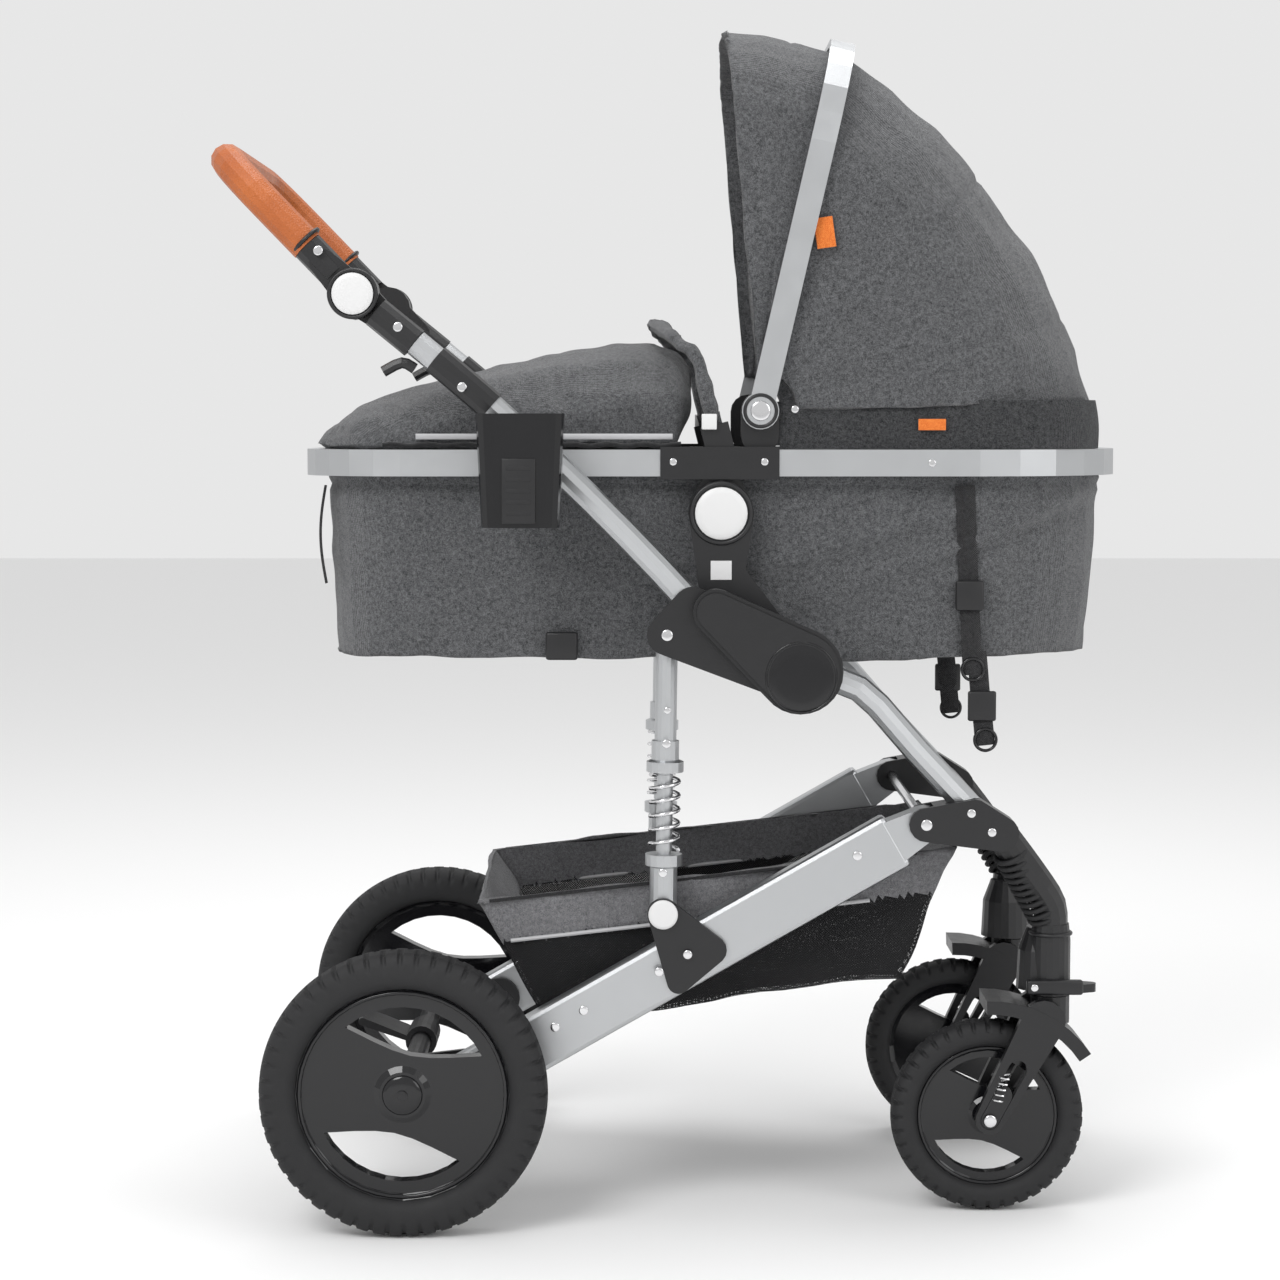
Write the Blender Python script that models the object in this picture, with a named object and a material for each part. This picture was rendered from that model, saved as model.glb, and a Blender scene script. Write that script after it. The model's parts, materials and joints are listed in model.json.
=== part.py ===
# Baby stroller with a reversible carrycot, a folding side frame and swivelling front wheels.
# Metres, +Z up, +X towards the small front wheels, +Y to the stroller's left.
# The side view is drawn in (x, z) with x measured from the rear axle; at the end the whole
# stroller is shifted along X so that its bounding box is centred on the origin.

import math

import bmesh
import bpy
from mathutils import Matrix, Vector
from mathutils.geometry import convex_hull_2d

# ---------------------------------------------------------------- driving dimensions

GAP = 0.0003                  # between pieces that touch
RUNNING_GAP = 0.0010          # between pieces that move past each other

# wheels
REAR_WHEEL_RADIUS = 0.150
REAR_TYRE_WIDTH = 0.046
FRONT_WHEEL_RADIUS = 0.103
FRONT_TYRE_WIDTH = 0.038
WHEELBASE = 0.617
CASTOR_TRAIL = 0.067          # swivel axis ahead of the front axle
CASTOR_INSET = 0.037          # swivel axis inboard of the side tubes
RIM_SHARE = 0.74              # rim radius over tyre radius
AXLE_RADIUS = 0.0055

# side frame
FRAME_HALF_WIDTH = 0.205      # centre of the side tubes
TUBE_RADIUS = 0.014
PLATE = 0.006                 # side plates of the folding joints
RAIL_HEIGHT = 0.0595
RAIL_DROP = 0.034             # rear axle above the centre line of the rail
RAIL_PIVOT_SETBACK = 0.139    # behind the swivel axis
RAIL_PIVOT_HEIGHT = 0.4226
HUB_SETBACK = 0.1326          # behind the rail pivot
HUB_HEIGHT = 0.5789
PIN_RADIUS = 0.008
KNUCKLE_RADIUS = 0.0195

# handle
HANDLE_TUBE_LENGTH = 0.6094   # hub to handle joint
HANDLE_TUBE_ANGLE = 139.5
HANDLE_TUBE_BOW = 0.011
HANDLE_ANGLE = 134.0
HANDLE_REACH = 0.200          # handle joint to the middle of the cross grip
HANDLE_CORNER = 0.070
HANDLE_JOINT_RADIUS = 0.026
GRIP_RADIUS = 0.0175

# suspension strut
STRUT_ARM = 0.1452            # hub to strut top
STRUT_ARM_ANGLE = 162.9
STRUT_FOOT_REACH = 0.2858     # along the rail, behind the rail pivot
STRUT_FOOT_RISE = 0.0552      # above the centre line of the rail
STRUT_RADIUS = 0.0115
SPRING_RADIUS = 0.0180
SPRING_WIRE = 0.0018
SPRING_TURNS = 5.5
FORK_TRAVEL = 0.008
FORK_ANGLE = 62.0             # slope of the fork blades

# seat and carrycot
SEAT_SETBACK = 0.0818         # tilt axis behind the hub
SEAT_RISE = 0.1683            # tilt axis above the hub
SEAT_DISC_RADIUS = 0.0345
HOOP_RISE = 0.0526            # middle of the hoop above the tilt axis
HOOP_HEIGHT = 0.028
HOOP_THICKNESS = 0.019
HOOP_REAR = 0.447             # hoop end behind the tilt axis
HOOP_FRONT = 0.437            # hoop end ahead of the tilt axis
HOOP_REAR_CORNER = 0.110
HOOP_FRONT_CORNER = 0.165
SLEEVE_REAR = 0.064            # hoop sleeve behind the tilt axis
TUB_DEPTH = 0.207
TUB_WALL = 0.006
FOOT_COVER_LENGTH = 0.402
FOOT_COVER_RISE = 0.110
CANOPY_SETFORWARD = 0.041     # canopy hinge ahead of the tilt axis
CANOPY_RISE = 0.1072          # canopy hinge above the tilt axis
CANOPY_ANGLE = 77.0
CANOPY_REACH = 0.407
CANOPY_CORNER = 0.120
CANOPY_VISOR_SPREAD = 18.0
BOW_WIDTH = 0.026
BOW_THICKNESS = 0.010
CLOTH = 0.003
BUMPER_SETBACK = 0.0075
BUMPER_RISE = 0.1500
BUMPER_LEAN = 104.0
BUMPER_RADIUS = 0.0125

# basket and cup holder
BASKET_LENGTH = 0.510
BASKET_DEPTH = 0.140
BASKET_WALL = 0.004
TRIGGER_SLEEVE_WALL = 0.0018
CUP_WIDTH = 0.090
CUP_DEPTH = 0.069             # outboard of the side tube
CUP_HEIGHT = 0.116
CUP_WALL = 0.003

# ---------------------------------------------------------------- plane geometry


def polar(origin, angle, length):
    turn = math.radians(angle)
    return (origin[0] + length * math.cos(turn), origin[1] + length * math.sin(turn))


def shifted(point, along, up):
    return (point[0] + along, point[1] + up)


def between(first, second, share):
    return tuple(a + (b - a) * share for a, b in zip(first, second))


def arc(centre, radius, start, end, steps):
    return [polar(centre, start + (end - start) * i / steps, radius) for i in range(steps + 1)]


def hull(*discs, steps=16):
    """Outline of a band stretched round discs, each (centre, radius)."""
    points = []
    for centre, radius in discs:
        points += arc(centre, radius, 0, 360 - 360 / steps, steps - 1)
    return [points[i] for i in convex_hull_2d(points)]


def rounded_box(low, high, corner, steps=3):
    """Outline of a box from low to high with round corners."""
    (x0, z0), (x1, z1) = low, high
    return (
        arc((x1 - corner, z1 - corner), corner, 0, 90, steps)
        + arc((x0 + corner, z1 - corner), corner, 90, 180, steps)
        + arc((x0 + corner, z0 + corner), corner, 180, 270, steps)
        + arc((x1 - corner, z0 + corner), corner, 270, 360, steps)
    )


def hoop_outline(rear, front, half_width, rear_corner, front_corner, steps=6):
    """Plan view of the seat: a rounded rear end and a nearly semicircular front end."""
    return (
        arc((front - front_corner, half_width - front_corner), front_corner, 0, 90, steps)
        + arc((rear + rear_corner, half_width - rear_corner), rear_corner, 90, 180, steps)
        + arc((rear + rear_corner, rear_corner - half_width), rear_corner, 180, 270, steps)
        + arc((front - front_corner, front_corner - half_width), front_corner, 270, 360, steps)
    )


def bowed(start, end, bow, first=0.0, last=1.0, steps=8):
    """Points of a shallow parabola from start to end, between two shares of its length."""
    dx, dz = end[0] - start[0], end[1] - start[1]
    length = math.hypot(dx, dz)
    points = []
    for i in range(steps + 1):
        share = first + (last - first) * i / steps
        lift = 4 * bow * share * (1 - share)
        points.append((start[0] + dx * share - lift * dz / length,
                       start[1] + dz * share + lift * dx / length))
    return points


def smooth(points, per_span=4):
    """A Catmull-Rom curve through the points."""
    ends = [points[0]] + list(points) + [points[-1]]
    curve = []
    for a, b, c, d in zip(ends, ends[1:], ends[2:], ends[3:]):
        for i in range(per_span):
            t = i / per_span
            curve.append(tuple(
                0.5 * (2 * q + (r - p) * t + (2 * p - 5 * q + 4 * r - s) * t * t
                       + (3 * q - p - 3 * r + s) * t ** 3)
                for p, q, r, s in zip(a, b, c, d)))
    return curve + [tuple(points[-1])]


# ---------------------------------------------------------------- solids


def moved(bm, offset):
    bmesh.ops.translate(bm, vec=Vector(offset), verts=bm.verts)
    return bm


def turned(bm, angle, axis, centre=(0, 0, 0)):
    matrix = Matrix.Rotation(math.radians(angle), 3, axis)
    bmesh.ops.rotate(bm, cent=Vector(centre), matrix=matrix, verts=bm.verts)
    return bm


def mirrored(bm):
    bmesh.ops.scale(bm, vec=(1, -1, 1), verts=bm.verts)
    bmesh.ops.reverse_faces(bm, faces=bm.faces)
    return bm


def prism(outline, low, high, upright=False):
    """A flat plate: a side-view outline with a thickness in Y, or a plan outline with one in Z."""
    bm = bmesh.new()
    corners = [bm.verts.new((a, b, low) if upright else (a, low, b)) for a, b in outline]
    face = bm.faces.new(corners)
    grown = bmesh.ops.extrude_face_region(bm, geom=[face])["geom"]
    rise = (0, 0, high - low) if upright else (0, high - low, 0)
    bmesh.ops.translate(bm, vec=rise, verts=[v for v in grown if isinstance(v, bmesh.types.BMVert)])
    bmesh.ops.recalc_face_normals(bm, faces=bm.faces)
    return bm


def tapered(outline, low, high, share):
    """A plan outline at high that shrinks to a share of its size at low."""
    bm = prism(outline, low, high, upright=True)
    bottom = [v for v in bm.verts if v.co.z < (low + high) / 2]
    middle = sum((v.co for v in bottom), Vector()) / len(bottom)
    bmesh.ops.scale(bm, vec=(share, share, 1), space=Matrix.Translation(-middle), verts=bottom)
    return bm


def turning(profile, steps, ring=False):
    """A turned piece about +Z from (radius, height) points; a ring keeps clear of the axis."""
    bm = bmesh.new()
    verts = [bm.verts.new((radius, 0, height)) for radius, height in profile]
    edges = [bm.edges.new(pair) for pair in zip(verts, verts[1:])]
    if ring:
        edges.append(bm.edges.new((verts[-1], verts[0])))
    bmesh.ops.spin(bm, geom=verts + edges, cent=(0, 0, 0), axis=(0, 0, 1), dvec=(0, 0, 0),
                   angle=2 * math.pi, steps=steps, use_merge=True, use_duplicate=False)
    bmesh.ops.remove_doubles(bm, verts=bm.verts, dist=1e-6)
    bmesh.ops.recalc_face_normals(bm, faces=bm.faces)
    return bm


def crosswise(bm, centre):
    """Turns a piece made about Z so that it lies along Y through a side-view point."""
    return moved(turned(bm, -90, "X"), (centre[0], 0, centre[1]))


def drum(centre, radius, low, high, steps=16):
    """A cylinder across the frame, from y = low to y = high."""
    return crosswise(turning([(0, low), (radius, low), (radius, high), (0, high)], steps), centre)


def pillar(centre, radius, low, high, steps=16):
    """An upright cylinder at a plan point."""
    piece = turning([(0, low), (radius, low), (radius, high), (0, high)], steps)
    return moved(piece, (centre[0], centre[1], 0))


def block(low, high):
    bm = bmesh.new()
    size = [b - a for a, b in zip(low, high)]
    middle = [(a + b) / 2 for a, b in zip(low, high)]
    bmesh.ops.create_cube(bm, size=1)
    bmesh.ops.scale(bm, vec=size, verts=bm.verts)
    return moved(bm, middle)


def evaluated(obj):
    bpy.context.view_layer.update()
    shown = obj.evaluated_get(bpy.context.evaluated_depsgraph_get())
    bm = bmesh.new()
    bm.from_mesh(shown.to_mesh())
    shown.to_mesh_clear()
    bmesh.ops.remove_doubles(bm, verts=bm.verts, dist=1e-6)
    return bm


def sweep(path, radius, resolution=4):
    """A round bar along 3-D points."""
    curve = bpy.data.curves.new("route", "CURVE")
    curve.dimensions = "3D"
    curve.bevel_depth = radius
    curve.bevel_resolution = resolution
    curve.use_fill_caps = True
    spline = curve.splines.new("POLY")
    spline.points.add(len(path) - 1)
    for point, place in zip(spline.points, path):
        point.co = (*place, 1)
    obj = bpy.data.objects.new("route", curve)
    bpy.context.collection.objects.link(obj)
    bm = evaluated(obj)
    bpy.data.objects.remove(obj)
    bpy.data.curves.remove(curve)
    bmesh.ops.recalc_face_normals(bm, faces=bm.faces)
    return bm


def at_width(path, y):
    """Side-view points set in the plane at y."""
    return [(x, y, z) for x, z in path]


def combined(operation, base, tools):
    objects = []
    for bm in [base] + tools:
        mesh = bpy.data.meshes.new("operand")
        bm.to_mesh(mesh)
        bm.free()
        obj = bpy.data.objects.new("operand", mesh)
        bpy.context.collection.objects.link(obj)
        objects.append(obj)
    for tool in objects[1:]:
        boolean = objects[0].modifiers.new("combine", "BOOLEAN")
        boolean.operation = operation
        boolean.object = tool
    result = evaluated(objects[0])
    for obj in objects:
        mesh = obj.data
        bpy.data.objects.remove(obj)
        bpy.data.meshes.remove(mesh)
    return result


def fused(base, *others):
    return combined("UNION", base, list(others))


def cut(base, *cutters):
    return combined("DIFFERENCE", base, list(cutters))


# ---------------------------------------------------------------- skeleton in side view

rear_axle_point = (0.0, REAR_WHEEL_RADIUS)
front_axle_point = (WHEELBASE, FRONT_WHEEL_RADIUS)
castor_x = WHEELBASE + CASTOR_TRAIL
rail_pivot = (castor_x - RAIL_PIVOT_SETBACK, RAIL_PIVOT_HEIGHT)
hub_point = (rail_pivot[0] - HUB_SETBACK, HUB_HEIGHT)
strut_top = polar(hub_point, STRUT_ARM_ANGLE, STRUT_ARM)
handle_pivot = polar(hub_point, HANDLE_TUBE_ANGLE, HANDLE_TUBE_LENGTH)
seat_pivot = shifted(hub_point, -SEAT_SETBACK, SEAT_RISE)
hoop_middle = seat_pivot[1] + HOOP_RISE
canopy_pivot = shifted(seat_pivot, CANOPY_SETFORWARD, CANOPY_RISE)
bumper_foot = (seat_pivot[0] - BUMPER_SETBACK, hoop_middle + HOOP_HEIGHT / 2 + PLATE + 0.020)

# the rail slopes down to the rear and passes RAIL_DROP under the rear axle
rail_span = math.dist(rail_pivot, rear_axle_point)
rail_slope = (math.degrees(math.atan2(rail_pivot[1] - rear_axle_point[1],
                                      rail_pivot[0] - rear_axle_point[0]))
              + math.degrees(math.asin(RAIL_DROP / rail_span)))
rail_length = math.sqrt(rail_span ** 2 - RAIL_DROP ** 2)


def on_rail(behind, above=0.0):
    """A point on the rail, from the rail pivot backwards along its centre line."""
    return polar(polar(rail_pivot, rail_slope + 180, behind), rail_slope + 90, above)


strut_foot = on_rail(STRUT_FOOT_REACH, STRUT_FOOT_RISE)
tube_end = polar(hub_point, 146.9, 0.134)
leg_bend = shifted(hub_point, 0.0621, -0.0146)
bracket_top = shifted(rail_pivot, 0.0511, 0.0123)
bracket_nose = shifted(rail_pivot, 0.0786, -0.0096)

# layers across the frame, outboard positive
tube_in = FRAME_HALF_WIDTH - TUBE_RADIUS
tube_out = FRAME_HALF_WIDTH + TUBE_RADIUS
plate_in = tube_out + GAP
plate_out = plate_in + PLATE
cover_in = plate_out + RUNNING_GAP
cover_out = cover_in + 0.0165
adaptor_out = tube_in - GAP
adaptor_in = adaptor_out - 0.0132
bracket_in = adaptor_in - 0.0130
hoop_out = adaptor_out - 0.0067
hoop_in = hoop_out - HOOP_THICKNESS
castor_y = FRAME_HALF_WIDTH - CASTOR_INSET
rear_wheel_y = cover_out + 0.0040 + REAR_TYRE_WIDTH / 2

# ---------------------------------------------------------------- finishes and bodies

for old in list(bpy.data.objects):
    bpy.data.objects.remove(old)

bodies = {}


def body(name, point, y=0.0, parent=None):
    empty = bpy.data.objects.new(name + "_axis", None)
    empty.empty_display_size = 0.03
    bpy.context.collection.objects.link(empty)
    place = Vector((point[0], y, point[1]))
    if parent:
        empty.parent = bodies[parent][0]
        empty.location = place - bodies[parent][1]
    else:
        empty.location = place
    bodies[name] = (empty, place)


def finish(name, colour, roughness, metallic=0.0):
    material = bpy.data.materials.new(name)
    material.use_nodes = True
    shader = material.node_tree.nodes["Principled BSDF"]
    shader.inputs["Base Color"].default_value = (*colour, 1)
    shader.inputs["Roughness"].default_value = roughness
    shader.inputs["Metallic"].default_value = metallic
    return material


aluminium = finish("anodised_aluminium", (0.72, 0.72, 0.73), 0.32, 1.0)
steel = finish("bright_steel", (0.70, 0.70, 0.72), 0.22, 1.0)
black_plastic = finish("black_plastic", (0.030, 0.030, 0.032), 0.48)
gloss_plastic = finish("gloss_black_plastic", (0.012, 0.012, 0.013), 0.12)
rubber = finish("black_rubber", (0.022, 0.022, 0.023), 0.78)
white_plastic = finish("white_plastic", (0.80, 0.80, 0.80), 0.40)
leather = finish("orange_leather", (0.45, 0.11, 0.02), 0.50)
fabric = finish("grey_melange_fabric", (0.075, 0.077, 0.080), 0.92)
mesh_fabric = finish("black_mesh_fabric", (0.020, 0.020, 0.021), 0.88)


def node(name, bm, material, body_name):
    empty, pivot = bodies[body_name]
    moved(bm, -pivot)
    mesh = bpy.data.meshes.new(name)
    bm.to_mesh(mesh)
    bm.free()
    mesh.materials.append(material)
    mesh.shade_smooth()
    mesh.set_sharp_from_angle(angle=math.radians(35))
    obj = bpy.data.objects.new(name, mesh)
    bpy.context.collection.objects.link(obj)
    obj.parent = empty


def pair(name, build, material, body_name, per_side=False):
    """The same piece on the left and, mirrored, on the right."""
    for side in ("L", "R"):
        piece = build() if side == "L" else mirrored(build())
        node(name + "_" + side, piece, material, body_name + ("_" + side if per_side else ""))


body("frame", (0, 0))
body("handle_frame", hub_point, parent="frame")
body("handle", handle_pivot, parent="handle_frame")
body("struts", strut_top, parent="handle_frame")
body("shock_rods", strut_foot, parent="struts")
body("rail_pivot", rail_pivot, parent="frame")
body("rear_frame", rail_pivot, parent="rail_pivot")
body("brake", rear_axle_point, parent="rear_frame")
body("seat", seat_pivot, parent="frame")
body("canopy", canopy_pivot, parent="seat")
body("bumper", bumper_foot, parent="seat")
for suffix, sign in (("_L", 1), ("_R", -1)):
    body("fold_trigger" + suffix, handle_pivot, sign * FRAME_HALF_WIDTH, "handle_frame")
    body("seat_release" + suffix, seat_pivot, sign * adaptor_out, "frame")
    body("rear_wheel" + suffix, rear_axle_point, sign * rear_wheel_y, "rear_frame")
    body("castor" + suffix, (castor_x, FRONT_WHEEL_RADIUS), sign * castor_y, "frame")
    body("fork_slider" + suffix, front_axle_point, sign * castor_y, "castor" + suffix)
    body("front_wheel" + suffix, front_axle_point, sign * castor_y, "fork_slider" + suffix)

# ---------------------------------------------------------------- front frame

bracket_discs = [(rail_pivot, 0.0180), (bracket_top, 0.0147), (bracket_nose, 0.0185)]


def bracket_outline(grow):
    return hull(*[(centre, radius + grow) for centre, radius in bracket_discs])


def bracket_cutter():
    reach = FRAME_HALF_WIDTH + 0.1
    return prism(bracket_outline(GAP), -reach, reach)


def front_leg():
    """Tube from the hub to the front bracket, with the eye and the pin of the fold."""
    path = smooth([hub_point, leg_bend, between(leg_bend, bracket_top, 0.5), bracket_top], 3)
    tube = cut(sweep(at_width(path, FRAME_HALF_WIDTH), TUBE_RADIUS), bracket_cutter())
    eye = drum(hub_point, 0.022, tube_in, tube_out - GAP)
    pin = drum(hub_point, PIN_RADIUS, tube_in + 0.004, cover_in - GAP, 16)
    return fused(tube, eye, pin)


def front_bracket():
    """A clevis that holds the rail's knuckle, with a solid nose ahead of it."""
    solid = prism(bracket_outline(0), tube_in - GAP - 0.004, plate_out)
    slot = hull((rail_pivot, KNUCKLE_RADIUS + RUNNING_GAP),
                (shifted(rail_pivot, -0.060, 0.030), 0.030),
                (shifted(rail_pivot, -0.060, -0.060), 0.030))
    return cut(solid, prism(slot, tube_in - GAP, plate_in - GAP * 0.3),
               drum(rail_pivot, AXLE_RADIUS + GAP, tube_in - 0.02, plate_in, 12))


def front_crosspiece():
    tie = drum(between(bracket_top, bracket_nose, 0.5), 0.011, 0.01 - tube_in, tube_in - 0.01)
    ends = [drum(between(bracket_top, bracket_nose, 0.5), 0.011, low, high)
            for low, high in ((tube_in - 0.012, tube_in), (-tube_in, 0.012 - tube_in))]
    return fused(front_bracket(), ends[0], tie, ends[1], mirrored(front_bracket()))


socket_low = 2 * FRONT_WHEEL_RADIUS + FORK_TRAVEL + 0.0195
socket_high = socket_low + 0.076


def castor_socket():
    """The sleeve over the swivel, its lock lever and the ribbed arm up to the bracket."""
    top = (castor_x, castor_y, socket_high - 0.010)
    start = (bracket_nose[0], FRAME_HALF_WIDTH, bracket_nose[1])
    path = smooth([start,
                   (between(start, top, 0.40)[0] + 0.010, FRAME_HALF_WIDTH - 0.012,
                    between(start, top, 0.40)[2]),
                   (castor_x - 0.003, castor_y + 0.006, socket_high + 0.022),
                   top], 3)
    arm = cut(sweep(path, 0.0180), bracket_cutter())
    sleeve = turning([(0, socket_low), (0.0215, socket_low), (0.0215, socket_high - 0.018),
                      (0.0195, socket_high), (0, socket_high)], 20)
    sleeve = moved(sleeve, (castor_x, castor_y, 0))
    shroud = turning([(0, socket_low + 0.004), (0.0290, socket_low + 0.004),
                      (0.0270, socket_high - 0.030), (0.0180, socket_high - 0.006),
                      (0, socket_high - 0.006)], 20)
    shroud = moved(shroud, (castor_x - 0.006, castor_y - 0.012, 0))
    lever = prism(hull(((castor_x - 0.016, castor_y), 0.0090), ((castor_x, castor_y), 0.0230),
                       ((castor_x + 0.042, castor_y), 0.0070)),
                  socket_low + 0.002, socket_low + 0.011, upright=True)
    return fused(arm, sleeve, shroud, lever)


def hub_cover():
    """Teardrop cover on the outside of the fold, resting on the end of its pin."""
    round_end = shifted(hub_point, -0.0006, 0.0058)
    narrow_end = shifted(hub_point, -0.0884, 0.0678)
    outline = hull((round_end, 0.0445), (narrow_end, 0.0238), steps=28)
    shell = prism(outline, cover_in, cover_out - 0.004)
    crown = prism(hull((round_end, 0.0405), (narrow_end, 0.0198), steps=28),
                  cover_out - 0.006, cover_out)
    return fused(shell, crown)


connector_point = shifted(seat_pivot, 0.0, -0.067)


def seat_adaptor():
    """Arm from the hub up to the round tilt joint, inboard of the side tube."""
    arm = prism(hull((hub_point, 0.022), (connector_point, 0.0255)), adaptor_in, adaptor_out)
    neck = prism(hull((shifted(connector_point, 0, 0.004), 0.0250),
                      (seat_pivot, SEAT_DISC_RADIUS)), adaptor_in + 0.0004, adaptor_out)
    pocket = block((seat_pivot[0] - 0.0115, adaptor_out - 0.0080, seat_pivot[1] - 0.0702),
                   (seat_pivot[0] + 0.0115, adaptor_out + 0.01, seat_pivot[1] - 0.0492))
    return cut(fused(arm, neck), pocket)


pair("front_leg", front_leg, aluminium, "frame")
node("front_crosspiece", front_crosspiece(), black_plastic, "frame")
pair("castor_socket", castor_socket, black_plastic, "frame")
pair("hub_cover", hub_cover, black_plastic, "frame")
pair("seat_adaptor", seat_adaptor, black_plastic, "frame")

# each release button floats in the pocket of its adaptor
for suffix, sign in (("_L", 1), ("_R", -1)):
    button = block((seat_pivot[0] - 0.0110, adaptor_out - 0.0040, seat_pivot[1] - 0.0697),
                   (seat_pivot[0] + 0.0110, adaptor_out - 0.0002, seat_pivot[1] - 0.0497))
    node("seat_release_button" + suffix, button if sign > 0 else mirrored(button),
         white_plastic, "seat_release" + suffix)

# ---------------------------------------------------------------- handle frame

JOINT_ARM = 0.080             # handle joint to the end of its sleeve on the side tube
joint_share = JOINT_ARM / math.dist(handle_pivot, tube_end)
tube_slope = math.degrees(math.atan2(tube_end[1] - handle_pivot[1], tube_end[0] - handle_pivot[0]))
sleeve_middle = 0.145 / math.dist(handle_pivot, tube_end)
sleeve_half = 0.038 / math.dist(handle_pivot, tube_end)
ARM_RADIUS = 0.0165
JOINT_CLEAR = HANDLE_JOINT_RADIUS + 0.0030


def side_path(first, last, steps=8):
    return at_width(bowed(handle_pivot, tube_end, HANDLE_TUBE_BOW, first, last, steps),
                    FRAME_HALF_WIDTH)


def handle_tube():
    return sweep(side_path(joint_share + 0.001, 1.0), TUBE_RADIUS)


def hub_plate():
    outline = hull((strut_top, 0.0210), (tube_end, 0.0200), (hub_point, 0.0300), steps=24)
    return cut(prism(outline, plate_in, plate_out),
               drum(hub_point, PIN_RADIUS + GAP, plate_in - 0.01, plate_out + 0.01, 16))


def trigger_sleeve():
    outer = sweep(side_path(sleeve_middle - sleeve_half, sleeve_middle + sleeve_half, 4),
                  TUBE_RADIUS + TRIGGER_SLEEVE_WALL)
    return cut(outer, sweep(side_path(sleeve_middle - 2 * sleeve_half,
                                      sleeve_middle + 2 * sleeve_half, 8), TUBE_RADIUS + GAP))


def joint_half(low, high, angle, length):
    """A disc in one layer of the handle joint with a sleeve running out at an angle."""
    disc = drum(handle_pivot, HANDLE_JOINT_RADIUS, low, high)
    web = prism(hull((handle_pivot, 0.020), (polar(handle_pivot, angle, 0.045), 0.014)),
                low + 0.0003, high - 0.0003)
    route = [polar(handle_pivot, angle, JOINT_CLEAR), polar(handle_pivot, angle, length)]
    return fused(disc, web, sweep(at_width(route, FRAME_HALF_WIDTH), ARM_RADIUS))


def handle_joint():
    return joint_half(tube_in, FRAME_HALF_WIDTH - GAP / 2, tube_slope + 3.5, JOINT_ARM)


def handle_arm():
    half = joint_half(FRAME_HALF_WIDTH + GAP / 2, tube_out, HANDLE_ANGLE, 0.069)
    return fused(half, drum(handle_pivot, 0.0220, tube_out - 0.002, tube_out + 0.006, 24))


def handle_grip():
    """Padded U-shaped grip from one arm to the other."""
    begin = 0.069 + GAP
    plan = [(begin, FRAME_HALF_WIDTH), (HANDLE_REACH - HANDLE_CORNER, FRAME_HALF_WIDTH)]
    plan += arc((HANDLE_REACH - HANDLE_CORNER, FRAME_HALF_WIDTH - HANDLE_CORNER),
                HANDLE_CORNER, 90, 0, 6)[1:]
    plan += [(a, -b) for a, b in reversed(plan)]
    path = []
    for along, y in plan:
        x, z = polar(handle_pivot, HANDLE_ANGLE, along)
        path.append((x, y, z))
    return sweep(path, GRIP_RADIUS)


cup_middle = bowed(handle_pivot, tube_end, HANDLE_TUBE_BOW, 0.475, 0.475, 1)[0]


def cup_holder():
    x, z = cup_middle
    low, high = z - 0.094, z - 0.094 + CUP_HEIGHT
    near = tube_out + 0.004
    half = CUP_WIDTH / 2
    outline = rounded_box((x - half, near), (x + half, near + CUP_DEPTH), 0.016)
    inside = rounded_box((x - half + CUP_WALL, near + CUP_WALL),
                         (x + half - CUP_WALL, near + CUP_DEPTH - CUP_WALL), 0.014)
    cup = cut(tapered(outline, low, high, 0.88), tapered(inside, low + CUP_WALL, high + 0.02, 0.87))
    clip = block((x - 0.014, tube_out + GAP, z - 0.030), (x + 0.014, near + 0.002, z + 0.002))
    return mirrored(fused(cup, clip))


def fold_trigger():
    """Hooked pull under the side tube, next to its sleeve."""
    start = bowed(handle_pivot, tube_end, HANDLE_TUBE_BOW, 0.205, 0.205, 1)[0]
    down = tube_slope - 90
    root = polar(start, down, TUBE_RADIUS + 0.0075)
    knee = polar(polar(start, down, TUBE_RADIUS + 0.012), tube_slope + 180, 0.014)
    tip = polar(polar(start, down, TUBE_RADIUS + 0.032), tube_slope + 180, 0.022)
    path = at_width(smooth([root, knee, tip], 3), FRAME_HALF_WIDTH)
    return sweep(path, 0.0058, 2)


pair("handle_tube", handle_tube, aluminium, "handle_frame")
pair("hub_plate", hub_plate, black_plastic, "handle_frame")
pair("trigger_sleeve", trigger_sleeve, black_plastic, "handle_frame")
pair("handle_joint", handle_joint, black_plastic, "handle_frame")
node("cup_holder", cup_holder(), black_plastic, "handle_frame")
pair("handle_arm", handle_arm, black_plastic, "handle")
node("handle_grip", handle_grip(), leather, "handle")
pair("fold_trigger", fold_trigger, black_plastic, "fold_trigger", per_side=True)

# ---------------------------------------------------------------- suspension strut

strut_y = tube_in + STRUT_RADIUS + 0.002
strut_length = math.dist(strut_top, strut_foot)
strut_angle = math.degrees(math.atan2(strut_foot[1] - strut_top[1], strut_foot[0] - strut_top[0]))
SPRING_TOP = 0.145            # along the strut from its top
SPRING_BOTTOM = 0.232
ROD_RADIUS = 0.0075


def down_strut(bm):
    """Lays a piece made about Z, with z = 0 at the strut top, along the strut."""
    return moved(turned(bm, 90 - strut_angle, "Y"), (strut_top[0], strut_y, strut_top[1]))


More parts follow.
